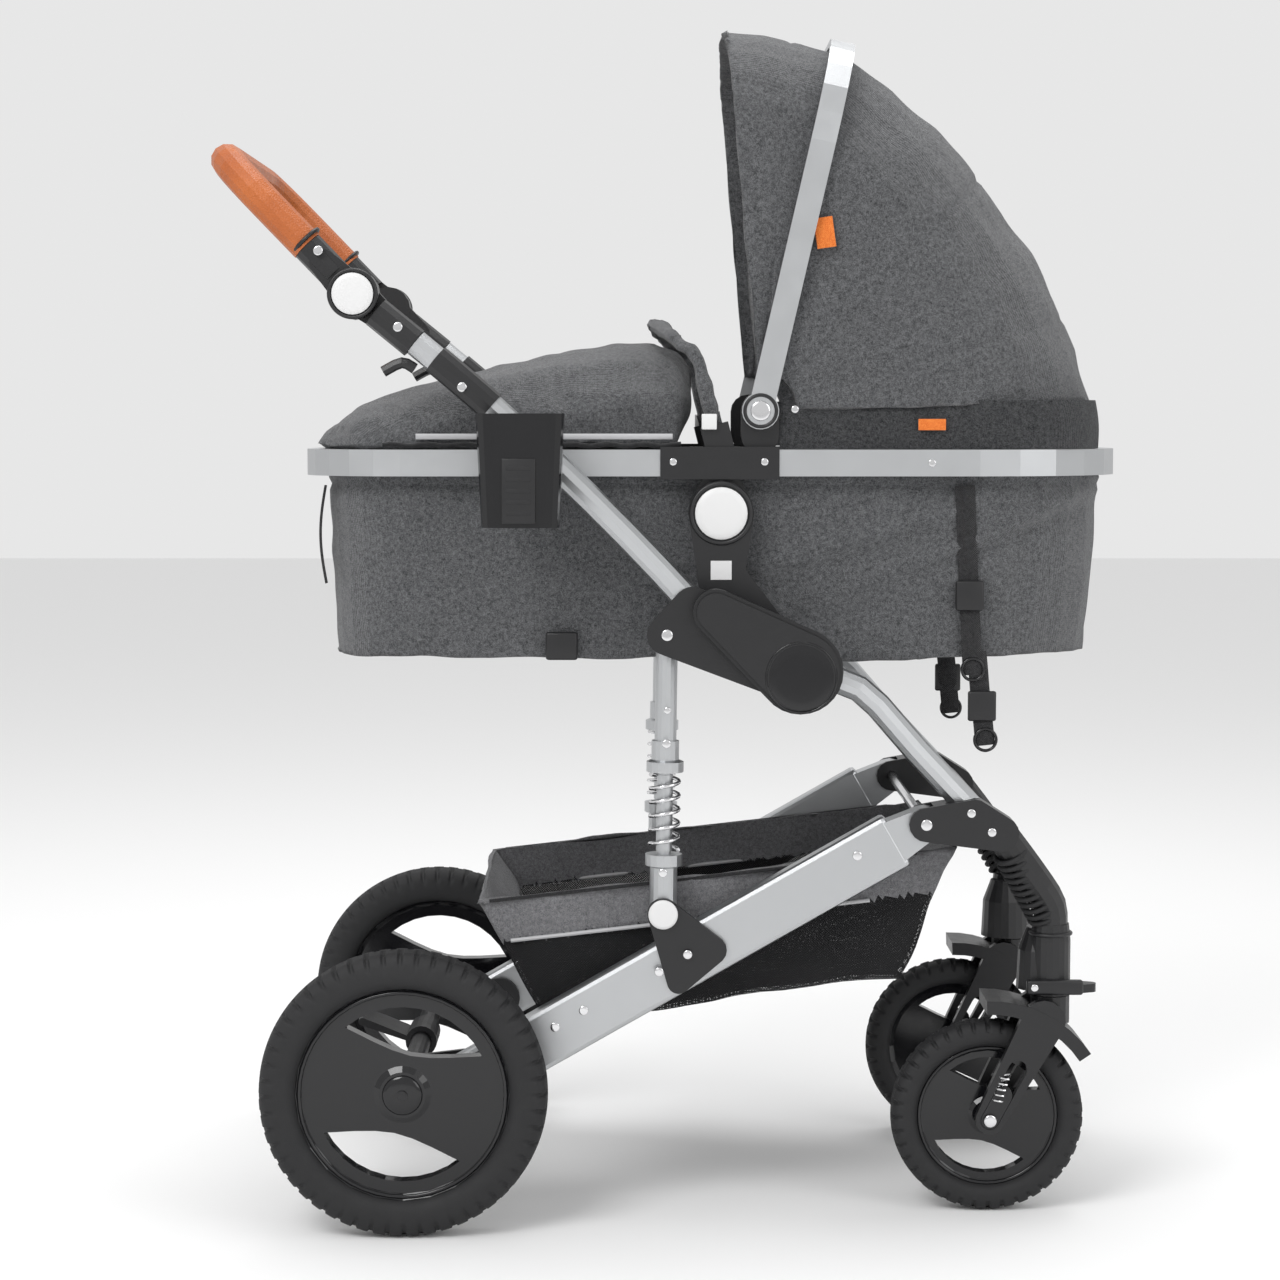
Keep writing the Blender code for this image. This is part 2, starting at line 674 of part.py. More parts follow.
def strut_tube():
    profile = [(ROD_RADIUS + 0.0004, 0.030), (STRUT_RADIUS, 0.030), (STRUT_RADIUS, 0.112),
               (0.0145, 0.112), (0.0145, 0.132), (0.0195, 0.134), (0.0195, SPRING_TOP),
               (ROD_RADIUS + 0.0004, SPRING_TOP)]
    barrel = down_strut(turning(profile, 16, ring=True))
    eye = drum(strut_top, 0.0160, tube_in, tube_out)
    neck = down_strut(turning([(0, 0.008), (STRUT_RADIUS, 0.008), (STRUT_RADIUS, 0.034),
                               (0, 0.034)], 16))
    return fused(barrel, neck, eye)


def shock_rod():
    profile = [(0, 0.060), (ROD_RADIUS, 0.060), (ROD_RADIUS, SPRING_BOTTOM),
               (0.0195, SPRING_BOTTOM), (0.0195, SPRING_BOTTOM + 0.012),
               (0.0145, SPRING_BOTTOM + 0.014), (0.0145, strut_length - 0.004),
               (0, strut_length - 0.004)]
    rod = down_strut(turning(profile, 16))
    return fused(rod, drum(strut_foot, 0.0155, strut_y - 0.0145, strut_y + 0.0145))


def shock_spring():
    """A coil round the rod, between the collars."""
    low, high = SPRING_TOP + SPRING_WIRE + GAP, SPRING_BOTTOM - SPRING_WIRE - GAP
    steps = int(SPRING_TURNS * 12)
    path = []
    for i in range(steps + 1):
        turn = 2 * math.pi * SPRING_TURNS * i / steps
        radius = SPRING_RADIUS - SPRING_WIRE
        path.append((radius * math.cos(turn), radius * math.sin(turn),
                     low + (high - low) * i / steps))
    return down_strut(sweep(path, SPRING_WIRE, 0))


pair("strut_tube", strut_tube, aluminium, "struts")
pair("shock_rod", shock_rod, aluminium, "shock_rods")
pair("shock_spring", shock_spring, steel, "struts")

# ---------------------------------------------------------------- rear frame

rail_end = rail_length - 0.040
KNUCKLE = 0.034


def rail():
    half = RAIL_HEIGHT / 2
    body_outline = [on_rail(KNUCKLE, half), on_rail(rail_end, half),
                    on_rail(rail_end, -half), on_rail(KNUCKLE, -half)]
    beam = prism(body_outline, tube_in, tube_out)
    bmesh.ops.bevel(beam, geom=beam.edges[:], offset=0.005, affect="EDGES", segments=2,
                    profile=0.5, material=-1)
    eye = prism(hull((rail_pivot, KNUCKLE_RADIUS - 0.002), (on_rail(KNUCKLE + 0.008), 0.0235)),
                tube_in + GAP, tube_out - GAP)
    return cut(fused(beam, eye),
               drum(rail_pivot, AXLE_RADIUS + GAP, tube_in - 0.01, tube_out + 0.01, 12))


def strut_bracket():
    """Outboard plate on the rail whose round cap covers the strut's foot."""
    outline = hull((strut_foot, 0.0165), (on_rail(STRUT_FOOT_REACH - 0.026, -0.004), 0.0150),
                   (on_rail(STRUT_FOOT_REACH + 0.022, -0.016), 0.0120))
    plate = prism(outline, plate_in, plate_out)
    return fused(plate, drum(strut_foot, 0.0160, plate_out - 0.002, plate_out + 0.003))


def rear_axle():
    """Cross tube with a cheek on each side of both rails and a stub for each wheel."""
    reach = rear_wheel_y + REAR_TYRE_WIDTH / 2 - 0.004
    parts = [drum(rear_axle_point, 0.0110, -tube_in + 0.004, tube_in - 0.004)]
    for sign in (1, -1):
        stub = drum(rear_axle_point, AXLE_RADIUS, tube_in - 0.006, reach, 16)
        cheeks = [prism(hull((rear_axle_point, 0.0200), (on_rail(rail_end - 0.030), 0.0240),
                             steps=20), low, high)
                  for low, high in ((tube_in - GAP - PLATE, tube_in - GAP), (plate_in, plate_out))]
        boss = drum(rear_axle_point, 0.0155, tube_in - 0.003, plate_in + 0.003, 18)
        for piece in [boss, stub] + cheeks:
            parts.append(piece if sign > 0 else mirrored(piece))
    return fused(*parts)


def basket():
    """Open fabric tray slung between the rails."""
    front_top = shifted(rail_pivot, 0.036, -0.0300)
    rear_top = shifted(front_top, -BASKET_LENGTH, -0.058)
    rear_low = shifted(rear_top, 0.075, -0.128)
    front_low = shifted(front_top, -0.060, -BASKET_DEPTH)
    half = tube_in - 0.0085
    outer = prism([rear_top, rear_low, front_low, front_top], -half, half)
    wall = BASKET_WALL
    inner = prism([shifted(rear_top, wall, 0.03), shifted(rear_top, wall, 0),
                   shifted(rear_low, wall, wall), shifted(front_low, -wall, wall),
                   shifted(front_top, -wall, 0), shifted(front_top, -wall, 0.03)],
                  wall - half, half - wall)
    return cut(outer, inner)


def wheel_tyre(radius, width, point, y):
    rim = radius * RIM_SHARE
    half = width / 2
    profile = [(rim, -half * 0.62), (rim + (radius - rim) * 0.45, -half),
               (rim + (radius - rim) * 0.80, -half * 0.86), (radius, -half * 0.38),
               (radius, half * 0.38), (rim + (radius - rim) * 0.80, half * 0.86),
               (rim + (radius - rim) * 0.45, half), (rim, half * 0.62)]
    return moved(crosswise(turning(profile, 24, ring=True), point), (0, y, 0))


def wheel_rim(radius, width, point, y, bore):
    """Dished disc with an eye-shaped opening above and below the hub."""
    rim = radius * RIM_SHARE - GAP
    half = width * 0.30
    profile = [(bore, -half), (radius * 0.16, -half), (radius * 0.20, -half * 0.55),
               (rim - 0.006, -half * 0.55), (rim, -half), (rim, half), (rim - 0.006, half * 0.75),
               (radius * 0.20, half * 0.75), (radius * 0.16, half), (bore, half)]
    disc = crosswise(turning(profile, 24, ring=True), point)
    eyes = []
    for tilt in (78, 258):
        outer = arc(point, radius * 0.61, tilt - 52, tilt + 52, 10)
        ends = (outer[0], outer[-1])
        middle = between(*ends, 0.5)
        dip = polar(middle, tilt + 180, radius * 0.10)
        outline = outer + smooth([ends[1], dip, ends[0]], 4)[1:-1]
        eyes.append(prism(outline, -width, width))
    return moved(cut(disc, *eyes), (0, y, 0))


def brake_pedal():
    ring = crosswise(turning([(0.0116, -0.030), (0.0175, -0.030), (0.0175, 0.030),
                              (0.0116, 0.030)], 20, ring=True), rear_axle_point)
    tread = prism(hull((shifted(rear_axle_point, -0.0152, 0.003), 0.0028),
                       (shifted(rear_axle_point, -0.066, 0.022), 0.0045), steps=12), -0.028, 0.028)
    return fused(ring, tread)


pair("rail", rail, aluminium, "rear_frame")
pair("strut_bracket", strut_bracket, black_plastic, "rear_frame")
node("rear_axle", rear_axle(), black_plastic, "rear_frame")
node("basket", basket(), mesh_fabric, "rear_frame")
node("pivot_shaft", drum(rail_pivot, AXLE_RADIUS, 0.002 - tube_out, tube_out - 0.002, 12),
     steel, "rail_pivot")
node("brake_pedal", brake_pedal(), black_plastic, "brake")
pair("rear_tyre", lambda: wheel_tyre(REAR_WHEEL_RADIUS, REAR_TYRE_WIDTH, rear_axle_point,
                                     rear_wheel_y), rubber, "rear_wheel", per_side=True)
pair("rear_rim", lambda: wheel_rim(REAR_WHEEL_RADIUS, REAR_TYRE_WIDTH, rear_axle_point,
                                   rear_wheel_y, AXLE_RADIUS + GAP),
     gloss_plastic, "rear_wheel", per_side=True)

# ---------------------------------------------------------------- front wheels

blade_in = FRONT_TYRE_WIDTH / 2 + 0.0045
blade_out = blade_in + 0.011
SLIDER_HALF = 0.0095


def fork():
    crown_in = FRONT_WHEEL_RADIUS + FORK_TRAVEL + 0.003
    crown_out = crown_in + 0.0145
    outline = (arc(front_axle_point, crown_out, 34, 92, 8)
               + arc(front_axle_point, crown_in, 92, 34, 8))
    parts = [prism(outline, -blade_out, blade_out),
             pillar((castor_x, 0), 0.0210, front_axle_point[1] + 0.100, socket_low - RUNNING_GAP)]
    shoulder = polar(front_axle_point, FORK_ANGLE, crown_in + 0.006)
    for low, high in ((blade_in, blade_out - 0.0004), (0.0004 - blade_out, -blade_in)):
        parts.append(prism(hull((front_axle_point, 0.0155), (shoulder, 0.0230)), low, high))
    slot = prism(hull((front_axle_point, SLIDER_HALF + 0.0005),
                      (polar(front_axle_point, FORK_ANGLE, 0.062), SLIDER_HALF + 0.0005)),
                 -0.08, 0.08)
    return moved(cut(fused(*parts), slot), (0, castor_y, 0))


def fork_slider():
    """Axle and the two sprung blocks that carry it in the fork blades."""
    top = polar(front_axle_point, FORK_ANGLE, 0.030)
    bars = [prism(hull((front_axle_point, SLIDER_HALF), (top, SLIDER_HALF)), low, high)
            for low, high in ((blade_in + 0.0005, blade_out - 0.0005),
                              (0.0005 - blade_out, -blade_in - 0.0005))]
    axle = drum(front_axle_point, AXLE_RADIUS, -blade_out - 0.002, blade_out + 0.002, 12)
    return moved(fused(axle, *bars), (0, castor_y, 0))


pair("fork", fork, black_plastic, "castor", per_side=True)
pair("fork_slider", fork_slider, black_plastic, "fork_slider", per_side=True)
pair("front_tyre", lambda: wheel_tyre(FRONT_WHEEL_RADIUS, FRONT_TYRE_WIDTH, front_axle_point,
                                      castor_y), rubber, "front_wheel", per_side=True)
pair("front_rim", lambda: wheel_rim(FRONT_WHEEL_RADIUS, FRONT_TYRE_WIDTH, front_axle_point,
                                    castor_y, AXLE_RADIUS + GAP),
     gloss_plastic, "front_wheel", per_side=True)

# ---------------------------------------------------------------- seat and carrycot

hoop_low = hoop_middle - HOOP_HEIGHT / 2
hoop_high = hoop_middle + HOOP_HEIGHT / 2
hoop_rear = seat_pivot[0] - HOOP_REAR
hoop_front = seat_pivot[0] + HOOP_FRONT


def seat_outline(inset, steps=6):
    return hoop_outline(hoop_rear + inset, hoop_front - inset, hoop_out - inset,
                        HOOP_REAR_CORNER - inset, HOOP_FRONT_CORNER - inset, steps)


def seat_rail():
    bm = prism(seat_outline(0), hoop_low, hoop_high, upright=True)
    hole = prism(seat_outline(HOOP_THICKNESS), hoop_low - 0.01, hoop_high + 0.01, upright=True)
    return cut(bm, hole)


def seat_tub():
    inset = HOOP_THICKNESS + 0.001
    high = hoop_high - 0.004
    low = hoop_low - TUB_DEPTH + 0.014
    outer = tapered(seat_outline(inset), low, high, 0.975)
    hollow = tapered(seat_outline(inset + TUB_WALL), low + TUB_WALL, high + 0.01, 0.975)
    return cut(outer, hollow)


def seat_bracket():
    """Sleeve on the hoop with the tilt disc below and the canopy and bumper seats on top."""
    wall = 0.0030
    x = seat_pivot[0]
    sleeve_out = hoop_out + wall
    sleeve = block((x - SLEEVE_REAR, bracket_in, hoop_low - wall),
                   (x + 0.0610, sleeve_out, hoop_high + wall))
    disc = prism(hull((seat_pivot, SEAT_DISC_RADIUS),
                      (shifted(seat_pivot, 0, 0.030), 0.020)), bracket_in + 0.0004,
                 adaptor_in - RUNNING_GAP / 2)
    hinge = prism(hull((canopy_pivot, 0.0200), (shifted(canopy_pivot, 0, -0.026), 0.0200)),
                  bracket_in + 0.0004, hoop_out - 0.0070)
    lean = BUMPER_LEAN
    socket = prism([polar(bumper_foot, lean + 90, 0.0150), polar(bumper_foot, lean - 90, 0.0150),
                    polar(polar(bumper_foot, lean - 90, 0.0150), lean, -0.0290),
                    polar(polar(bumper_foot, lean + 90, 0.0150), lean, -0.0290)],
                   bracket_in + 0.0008, hoop_out)
    hole = prism([polar(polar(bumper_foot, lean + side, 0.0090 + GAP), lean, along)
                  for side, along in ((90, 0.01), (-90, 0.01), (-90, -0.0205), (90, -0.0205))],
                 bracket_in + 0.0048, hoop_out - 0.0035)
    tunnel = block((x - 0.08, hoop_in - GAP, hoop_low - GAP),
                   (x + 0.08, hoop_out + GAP, hoop_high + GAP))
    return cut(fused(sleeve, disc, hinge, socket), tunnel, hole)


def on_canopy(bm):
    """Tips a piece drawn flat, x along the bow and z across it, to the bow's angle."""
    return moved(turned(bm, -CANOPY_ANGLE, "Y"), (canopy_pivot[0], 0, canopy_pivot[1]))


def bow_outline(reach, half_width, corner, steps=6):
    side = [(0, half_width)] + arc((reach - corner, half_width - corner), corner, 90, 0, steps)
    return side + [(a, -b) for a, b in reversed(side)]


def canopy_bow():
    outer_y = adaptor_out - 0.0020
    band = bow_outline(CANOPY_REACH, outer_y, CANOPY_CORNER)
    inside = bow_outline(CANOPY_REACH - BOW_THICKNESS, outer_y - BOW_THICKNESS,
                         CANOPY_CORNER - BOW_THICKNESS)
    bow = prism(band + inside[::-1], -BOW_WIDTH / 2, BOW_WIDTH / 2, upright=True)
    ends = []
    for sign in (1, -1):
        eye = turning([(0, 0), (0.0195, 0), (0.0195, BOW_THICKNESS + 0.0004),
                       (0, BOW_THICKNESS + 0.0004)], 20)
        eye = moved(turned(eye, -90, "X"), (0, outer_y - BOW_THICKNESS - 0.0002, 0))
        ends.append(eye if sign > 0 else mirrored(eye))
    return fused(on_canopy(bow), *[on_canopy(end) for end in ends])


def canopy_shell(first, last, reach_at, corner_at, steps):
    """Cloth stretched over ribs that fan round the canopy hinge."""
    bm = bmesh.new()
    half = adaptor_out - 0.0020 - BOW_THICKNESS - 0.0010 - CLOTH
    rows = []
    for i in range(steps + 1):
        share = i / steps
        angle = first + (last - first) * share
        reach, corner = reach_at(share), corner_at(share)
        side = [(0.040, half)] + arc((reach - corner, half - corner), corner, 90, 0, 6)
        rib = side + [(a, -b) for a, b in reversed(side)]
        row = []
        for along, y in rib:
            x, z = polar(canopy_pivot, angle, along)
            row.append(bm.verts.new((x, y, z)))
        rows.append(row)
    for near, far in zip(rows, rows[1:]):
        for a, b, c, d in zip(near, near[1:], far[1:], far):
            bm.faces.new((a, b, c, d))
    bmesh.ops.recalc_face_normals(bm, faces=bm.faces)
    bmesh.ops.solidify(bm, geom=bm.faces[:], thickness=CLOTH)
    bmesh.ops.recalc_face_normals(bm, faces=bm.faces)
    return bm


def canopy_visor():
    inner = CANOPY_REACH - BOW_THICKNESS - 0.005
    return canopy_shell(CANOPY_ANGLE + 0.5, CANOPY_ANGLE + CANOPY_VISOR_SPREAD,
                        lambda s: inner + 0.020 * s, lambda s: CANOPY_CORNER - 0.01, 3)


def canopy_rear():
    inner = CANOPY_REACH - BOW_THICKNESS - 0.008
    return canopy_shell(CANOPY_ANGLE - 0.5, 1.5,
                        lambda s: inner - 0.140 * s * (1 - s) - 0.018 * s,
                        lambda s: CANOPY_CORNER - 0.01 + 0.045 * s, 8)


def bumper_bar():
    """Padded bar over the seat; its two tongues drop into the sockets."""
    lean = BUMPER_LEAN
    y = (bracket_in + 0.0048 + hoop_out - 0.0035) / 2
    foot = polar(bumper_foot, lean, 0.004)
    shoulder = polar(bumper_foot, lean, 0.070)
    crest = shifted(shoulder, -0.045, 0.042)
    path = [(foot[0], y, foot[1]), (shoulder[0], y, shoulder[1])]
    for angle in (60, 30, 0):
        share = 1 - math.sin(math.radians(angle))
        x, z = between(shoulder, crest, 0.75 * math.cos(math.radians(angle)))
        path.append((x, y * (1 - 0.35 * share), z))
    path.append((crest[0], 0.02, crest[1]))
    path = smooth(path, 2)
    path += [(px, -py, pz) for px, py, pz in reversed(path)]
    parts = [sweep(path, BUMPER_RADIUS * 0.62, 2)]
    for sign in (1, -1):
        tongue = prism([polar(polar(bumper_foot, lean + side, 0.0090), lean, along)
                        for side, along in ((90, 0.012), (-90, 0.012), (-90, -0.0200),
                                            (90, -0.0200))],
                       y - 0.0040, y + 0.0040)
        parts.append(tongue if sign > 0 else mirrored(tongue))
    return fused(*parts)


def foot_cover():
    """Soft dome over the rear part of the carrycot, rising towards the bumper bar."""
    bm = bmesh.new()
    base = hoop_high + GAP
    stations = 8
    rows = []
    for i in range(stations + 1):
        share = i / stations
        x = hoop_rear + 0.006 + FOOT_COVER_LENGTH * share
        near_end = max(0.0, HOOP_REAR_CORNER - (x - hoop_rear))
        half = (hoop_out - 0.006 - HOOP_REAR_CORNER
                + math.sqrt(max(0.0, HOOP_REAR_CORNER ** 2 - near_end ** 2)))
        if x > seat_pivot[0] - SLEEVE_REAR - FOOT_COVER_LENGTH / stations - RUNNING_GAP:
            half = bracket_in - RUNNING_GAP
        rise = 0.012 + (FOOT_COVER_RISE - 0.012) * math.sin(share * math.pi / 2) ** 0.8
        row = []
        for k in range(9):
            turn = math.pi * k / 8
            y = half * math.cos(turn)
            row.append(bm.verts.new((x, y, base + rise * math.sin(turn) ** 0.75)))
        rows.append(row)
    for near, far in zip(rows, rows[1:]):
        for a, b, c, d in zip(near, near[1:], far[1:], far):
            bm.faces.new((a, b, c, d))
    bm.faces.new(rows[0])
    bm.faces.new(rows[-1][::-1])
    bm.faces.new([row[0] for row in rows] + [row[-1] for row in reversed(rows)])
    bmesh.ops.recalc_face_normals(bm, faces=bm.faces)
    return bm


node("seat_rail", seat_rail(), aluminium, "seat")
node("seat_tub", seat_tub(), fabric, "seat")
pair("seat_bracket", seat_bracket, black_plastic, "seat")
node("canopy_bow", canopy_bow(), aluminium, "canopy")
node("canopy_visor", canopy_visor(), fabric, "canopy")
node("canopy_rear", canopy_rear(), fabric, "seat")
node("bumper_bar", bumper_bar(), black_plastic, "bumper")
node("foot_cover", foot_cover(), fabric, "seat")

# ---------------------------------------------------------------- centre on the origin

bpy.context.view_layer.update()
reaches = [(obj.matrix_world @ vertex.co).x
           for obj in bpy.data.objects if obj.type == "MESH" for vertex in obj.data.vertices]
bodies["frame"][0].location.x -= (min(reaches) + max(reaches)) / 2
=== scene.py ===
import bpy
import bmesh
import json
import math

from mathutils import Matrix, Vector, noise


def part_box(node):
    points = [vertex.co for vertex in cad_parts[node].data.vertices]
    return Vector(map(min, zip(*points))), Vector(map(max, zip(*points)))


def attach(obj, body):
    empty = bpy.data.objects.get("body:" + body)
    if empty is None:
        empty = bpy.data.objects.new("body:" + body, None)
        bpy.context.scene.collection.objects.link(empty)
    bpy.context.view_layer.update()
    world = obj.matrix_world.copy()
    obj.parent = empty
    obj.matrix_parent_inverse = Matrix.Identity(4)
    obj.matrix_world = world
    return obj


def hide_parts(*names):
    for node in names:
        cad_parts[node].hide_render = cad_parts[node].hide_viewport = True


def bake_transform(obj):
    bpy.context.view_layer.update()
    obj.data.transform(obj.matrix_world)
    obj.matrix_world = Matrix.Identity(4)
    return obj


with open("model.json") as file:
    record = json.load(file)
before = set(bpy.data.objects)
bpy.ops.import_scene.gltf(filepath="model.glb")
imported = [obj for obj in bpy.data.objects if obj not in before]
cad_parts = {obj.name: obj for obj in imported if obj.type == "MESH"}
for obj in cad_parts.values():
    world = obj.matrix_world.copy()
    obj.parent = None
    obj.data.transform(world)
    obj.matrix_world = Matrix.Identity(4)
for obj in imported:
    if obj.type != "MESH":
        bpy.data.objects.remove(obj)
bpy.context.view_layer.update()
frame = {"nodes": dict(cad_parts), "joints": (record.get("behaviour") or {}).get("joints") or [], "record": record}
print("frame loaded")

denseShare = 2.2  # longest edge of a creased cover, in voxels
clothSteps = 16
tyreSteps = 30  # points round a tyre's section
lugSteps = 8  # points along one tread block
handleAngle = math.radians(134)

bodyOf = {j["child"]: Vector(j["pos_m"]) for j in frame["joints"] if j.get("pos_m")}
bodyOf["shock_rods"] = Vector((-0.0108, 0.0, 0.3286))
for side in "LR":
    bodyOf["fork_slider_" + side] = bodyOf["front_wheel_" + side]
nodes = frame["nodes"]


class Sock:
    # A shader value that can be used in ordinary arithmetic.

    def __init__(self, tree, socket):
        self.tree = tree
        self.socket = socket

    def maths(self, operation, other=None, swap=False):
        n = self.tree.nodes.new("ShaderNodeMath")
        n.operation = operation
        pair = [self, other] if not swap else [other, self]
        for index, value in enumerate(pair):
            if value is None:
                continue
            if isinstance(value, Sock):
                self.tree.links.new(value.socket, n.inputs[index])
            else:
                n.inputs[index].default_value = value
        return Sock(self.tree, n.outputs[0])

    def __add__(self, other):
        return self.maths("ADD", other)

    def __radd__(self, other):
        return self.maths("ADD", other, True)

    def __sub__(self, other):
        return self.maths("SUBTRACT", other)

    def __rsub__(self, other):
        return self.maths("SUBTRACT", other, True)

    def __mul__(self, other):
        return self.maths("MULTIPLY", other)

    def __rmul__(self, other):
        return self.maths("MULTIPLY", other, True)

    def __truediv__(self, other):
        return self.maths("DIVIDE", other)

    def sine(self):
        return self.maths("SINE")

    def absolute(self):
        return self.maths("ABSOLUTE")

    def above(self, other):
        return self.maths("GREATER_THAN", other)

    def smaller(self, other):
        return self.maths("MINIMUM", other)


class Look:
    # One material and the nodes that feed it.

    def __init__(self, name, **values):
        self.material = bpy.data.materials.new(name)
        self.material.use_nodes = True
        self.tree = self.material.node_tree
        self.shader = self.tree.nodes["Principled BSDF"]
        for key, value in values.items():
            label = {"color": "Base Color", "rough": "Roughness", "metal": "Metallic",
                     "coat": "Coat Weight",
                     "sheen": "Sheen Weight", "specular": "Specular IOR Level",
                     "coatRough": "Coat Roughness", "sheenRough": "Sheen Roughness"}[key]
            self.shader.inputs[label].default_value = (*value, 1) if key == "color" else value

    def add(self, kind, inputs=None, output=0, **settings):
        n = self.tree.nodes.new(kind)
        for key, value in settings.items():
            setattr(n, key, value)
        for key, value in (inputs or {}).items():
            if isinstance(value, Sock):
                self.tree.links.new(value.socket, n.inputs[key])
            else:
                n.inputs[key].default_value = value
        return Sock(self.tree, n.outputs[output])

    def place(self):
        return self.add("ShaderNodeTexCoord", output=3)

    def axes(self, vector):
        n = self.tree.nodes.new("ShaderNodeSeparateXYZ")
        self.tree.links.new(vector.socket, n.inputs[0])
        return [Sock(self.tree, out) for out in n.outputs]

    def grain(self, scale, detail=2.0, vector=None):
        return self.add("ShaderNodeTexNoise", {"Vector": vector or self.place(), "Scale": scale,
                                               "Detail": detail})

    def feed(self, label, sock):
        self.tree.links.new(sock.socket, self.shader.inputs[label])

    def bump(self, height, distance, strength=1.0):
        self.feed("Normal", self.add("ShaderNodeBump", {"Height": height, "Distance": distance,
                                                        "Strength": strength}))

    def mix(self, factor, first, second):
        return self.add("ShaderNodeMix", {0: factor, 6: (*first, 1) if not isinstance(first,
                                                                                      Sock) else first,
                                          7: (*second, 1) if not isinstance(second, Sock) else second},
                        2, data_type="RGBA")


def plasticLook(name, color, rough, grainSize, depth):
    look = Look(name, color=color, rough=rough)
    look.bump(look.grain(grainSize, 3.0), depth)
    look.feed("Roughness", look.grain(60.0) * 0.12 + (rough - 0.06))
    return look.material


def metalLook(name, color, rough, depth):
    look = Look(name, color=color, metal=1.0, rough=rough)
    look.bump(look.grain(1900.0, 3.0), depth)
    look.feed("Roughness", look.grain(45.0) * 0.14 + (rough - 0.07))
    return look.material


def fabricLook(name, dark, light, thread, depth, sheen=0.25):
    look = Look(name, rough=0.92, sheen=sheen, specular=0.2)
    across, along, up = look.axes(look.place())
    weave = (across * thread).sine() * (up * thread).sine() + (along * thread).sine() * 0.6
    fleck = look.grain(900.0, 4.0) * 0.65 + look.grain(260.0, 2.0) * 0.35
    look.feed("Base Color", look.mix(((fleck - 0.36) * 3.4).smaller(1.0), dark, light))
    look.bump(weave * 0.5 + fleck, depth)
    return look.material


def meshLook(name, color, thread, cover):
    look = Look(name, color=color, rough=0.7, specular=0.3)
    across, along, up = look.axes(look.place())
    holes = (across * thread + up * thread).sine() * (across * thread - up * thread).sine()
    look.feed("Alpha", (1.0 - holes.absolute().above(1.0 - cover) * 0.75))
    look.bump(holes.absolute(), 0.0006)
    return look.material


def leatherLook(name, dark, light):
    look = Look(name, rough=0.48, specular=0.45, coat=0.08)
    pores = look.add("ShaderNodeTexVoronoi", {"Vector": look.place(), "Scale": 520.0})
    look.bump(pores + look.grain(160.0, 3.0) * 0.6, 0.0005)
    look.feed("Base Color", look.mix(look.grain(24.0, 3.0), dark, light))
    look.feed("Roughness", look.grain(80.0) * 0.2 + 0.4)
    return look.material


looks = {
    "black_plastic": plasticLook("satinBlack", (0.009, 0.009, 0.010), 0.38, 1500.0, 0.00012),
    "gloss": plasticLook("glossBlack", (0.006, 0.006, 0.007), 0.13, 300.0, 0.00001),
    "white_button": plasticLook("satinWhite", (0.66, 0.66, 0.66), 0.38, 900.0, 0.00003),
    "frame_aluminium": metalLook("anodised", (0.50, 0.51, 0.52), 0.38, 0.00010),
    "bright_steel": metalLook("bright", (0.70, 0.70, 0.71), 0.16, 0.00001),
    "tyre_rubber": plasticLook("rubber", (0.011, 0.011, 0.012), 0.72, 700.0, 0.00025),
    "grip_leather": leatherLook("tan", (0.34, 0.075, 0.012), (0.50, 0.135, 0.026)),
    "melange_fabric": fabricLook("melange", (0.030, 0.031, 0.033), (0.165, 0.168, 0.175), 3600.0,
                                 0.0006),
    "band": fabricLook("greyBand", (0.10, 0.10, 0.105), (0.24, 0.24, 0.25), 3600.0, 0.0005),
    "piping": fabricLook("darkPiping", (0.008, 0.008, 0.009), (0.03, 0.03, 0.032), 4200.0, 0.0004),
    "silver": plasticLook("silverPiping", (0.42, 0.42, 0.43), 0.4, 800.0, 0.0002),
    "webbing": fabricLook("webbing", (0.010, 0.010, 0.011), (0.040, 0.040, 0.042), 2600.0, 0.0010),
    "tag": fabricLook("orangeTag", (0.62, 0.13, 0.02), (0.80, 0.24, 0.05), 3000.0, 0.0004),
    "mesh_fabric": meshLook("mesh", (0.010, 0.010, 0.011), 1100.0, 0.34),
}
looks["gloss_rim"] = looks["gloss"]
for part in frame["record"]["subparts"]:
    held = nodes[part["node"]].data
    held.materials.clear()
    held.materials.append(looks[part["material_slot"]])
for made in nodes.values():
    for face in made.data.polygons:
        face.use_smooth = True
    made.data.set_sharp_from_angle(angle=math.radians(32))
print("materials")


def madePiece(name, grid, look, body, smooth=40):
    mesh = bpy.data.meshes.new(name)
    bmesh.ops.recalc_face_normals(grid, faces=grid.faces)
    grid.to_mesh(mesh)
    grid.free()
    mesh.materials.append(look)
    for face in mesh.polygons:
        face.use_smooth = True
    mesh.set_sharp_from_angle(angle=math.radians(smooth))
    piece = bpy.data.objects.new(name, mesh)
    bpy.context.scene.collection.objects.link(piece)
    if body:
        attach(piece, body)
    return piece


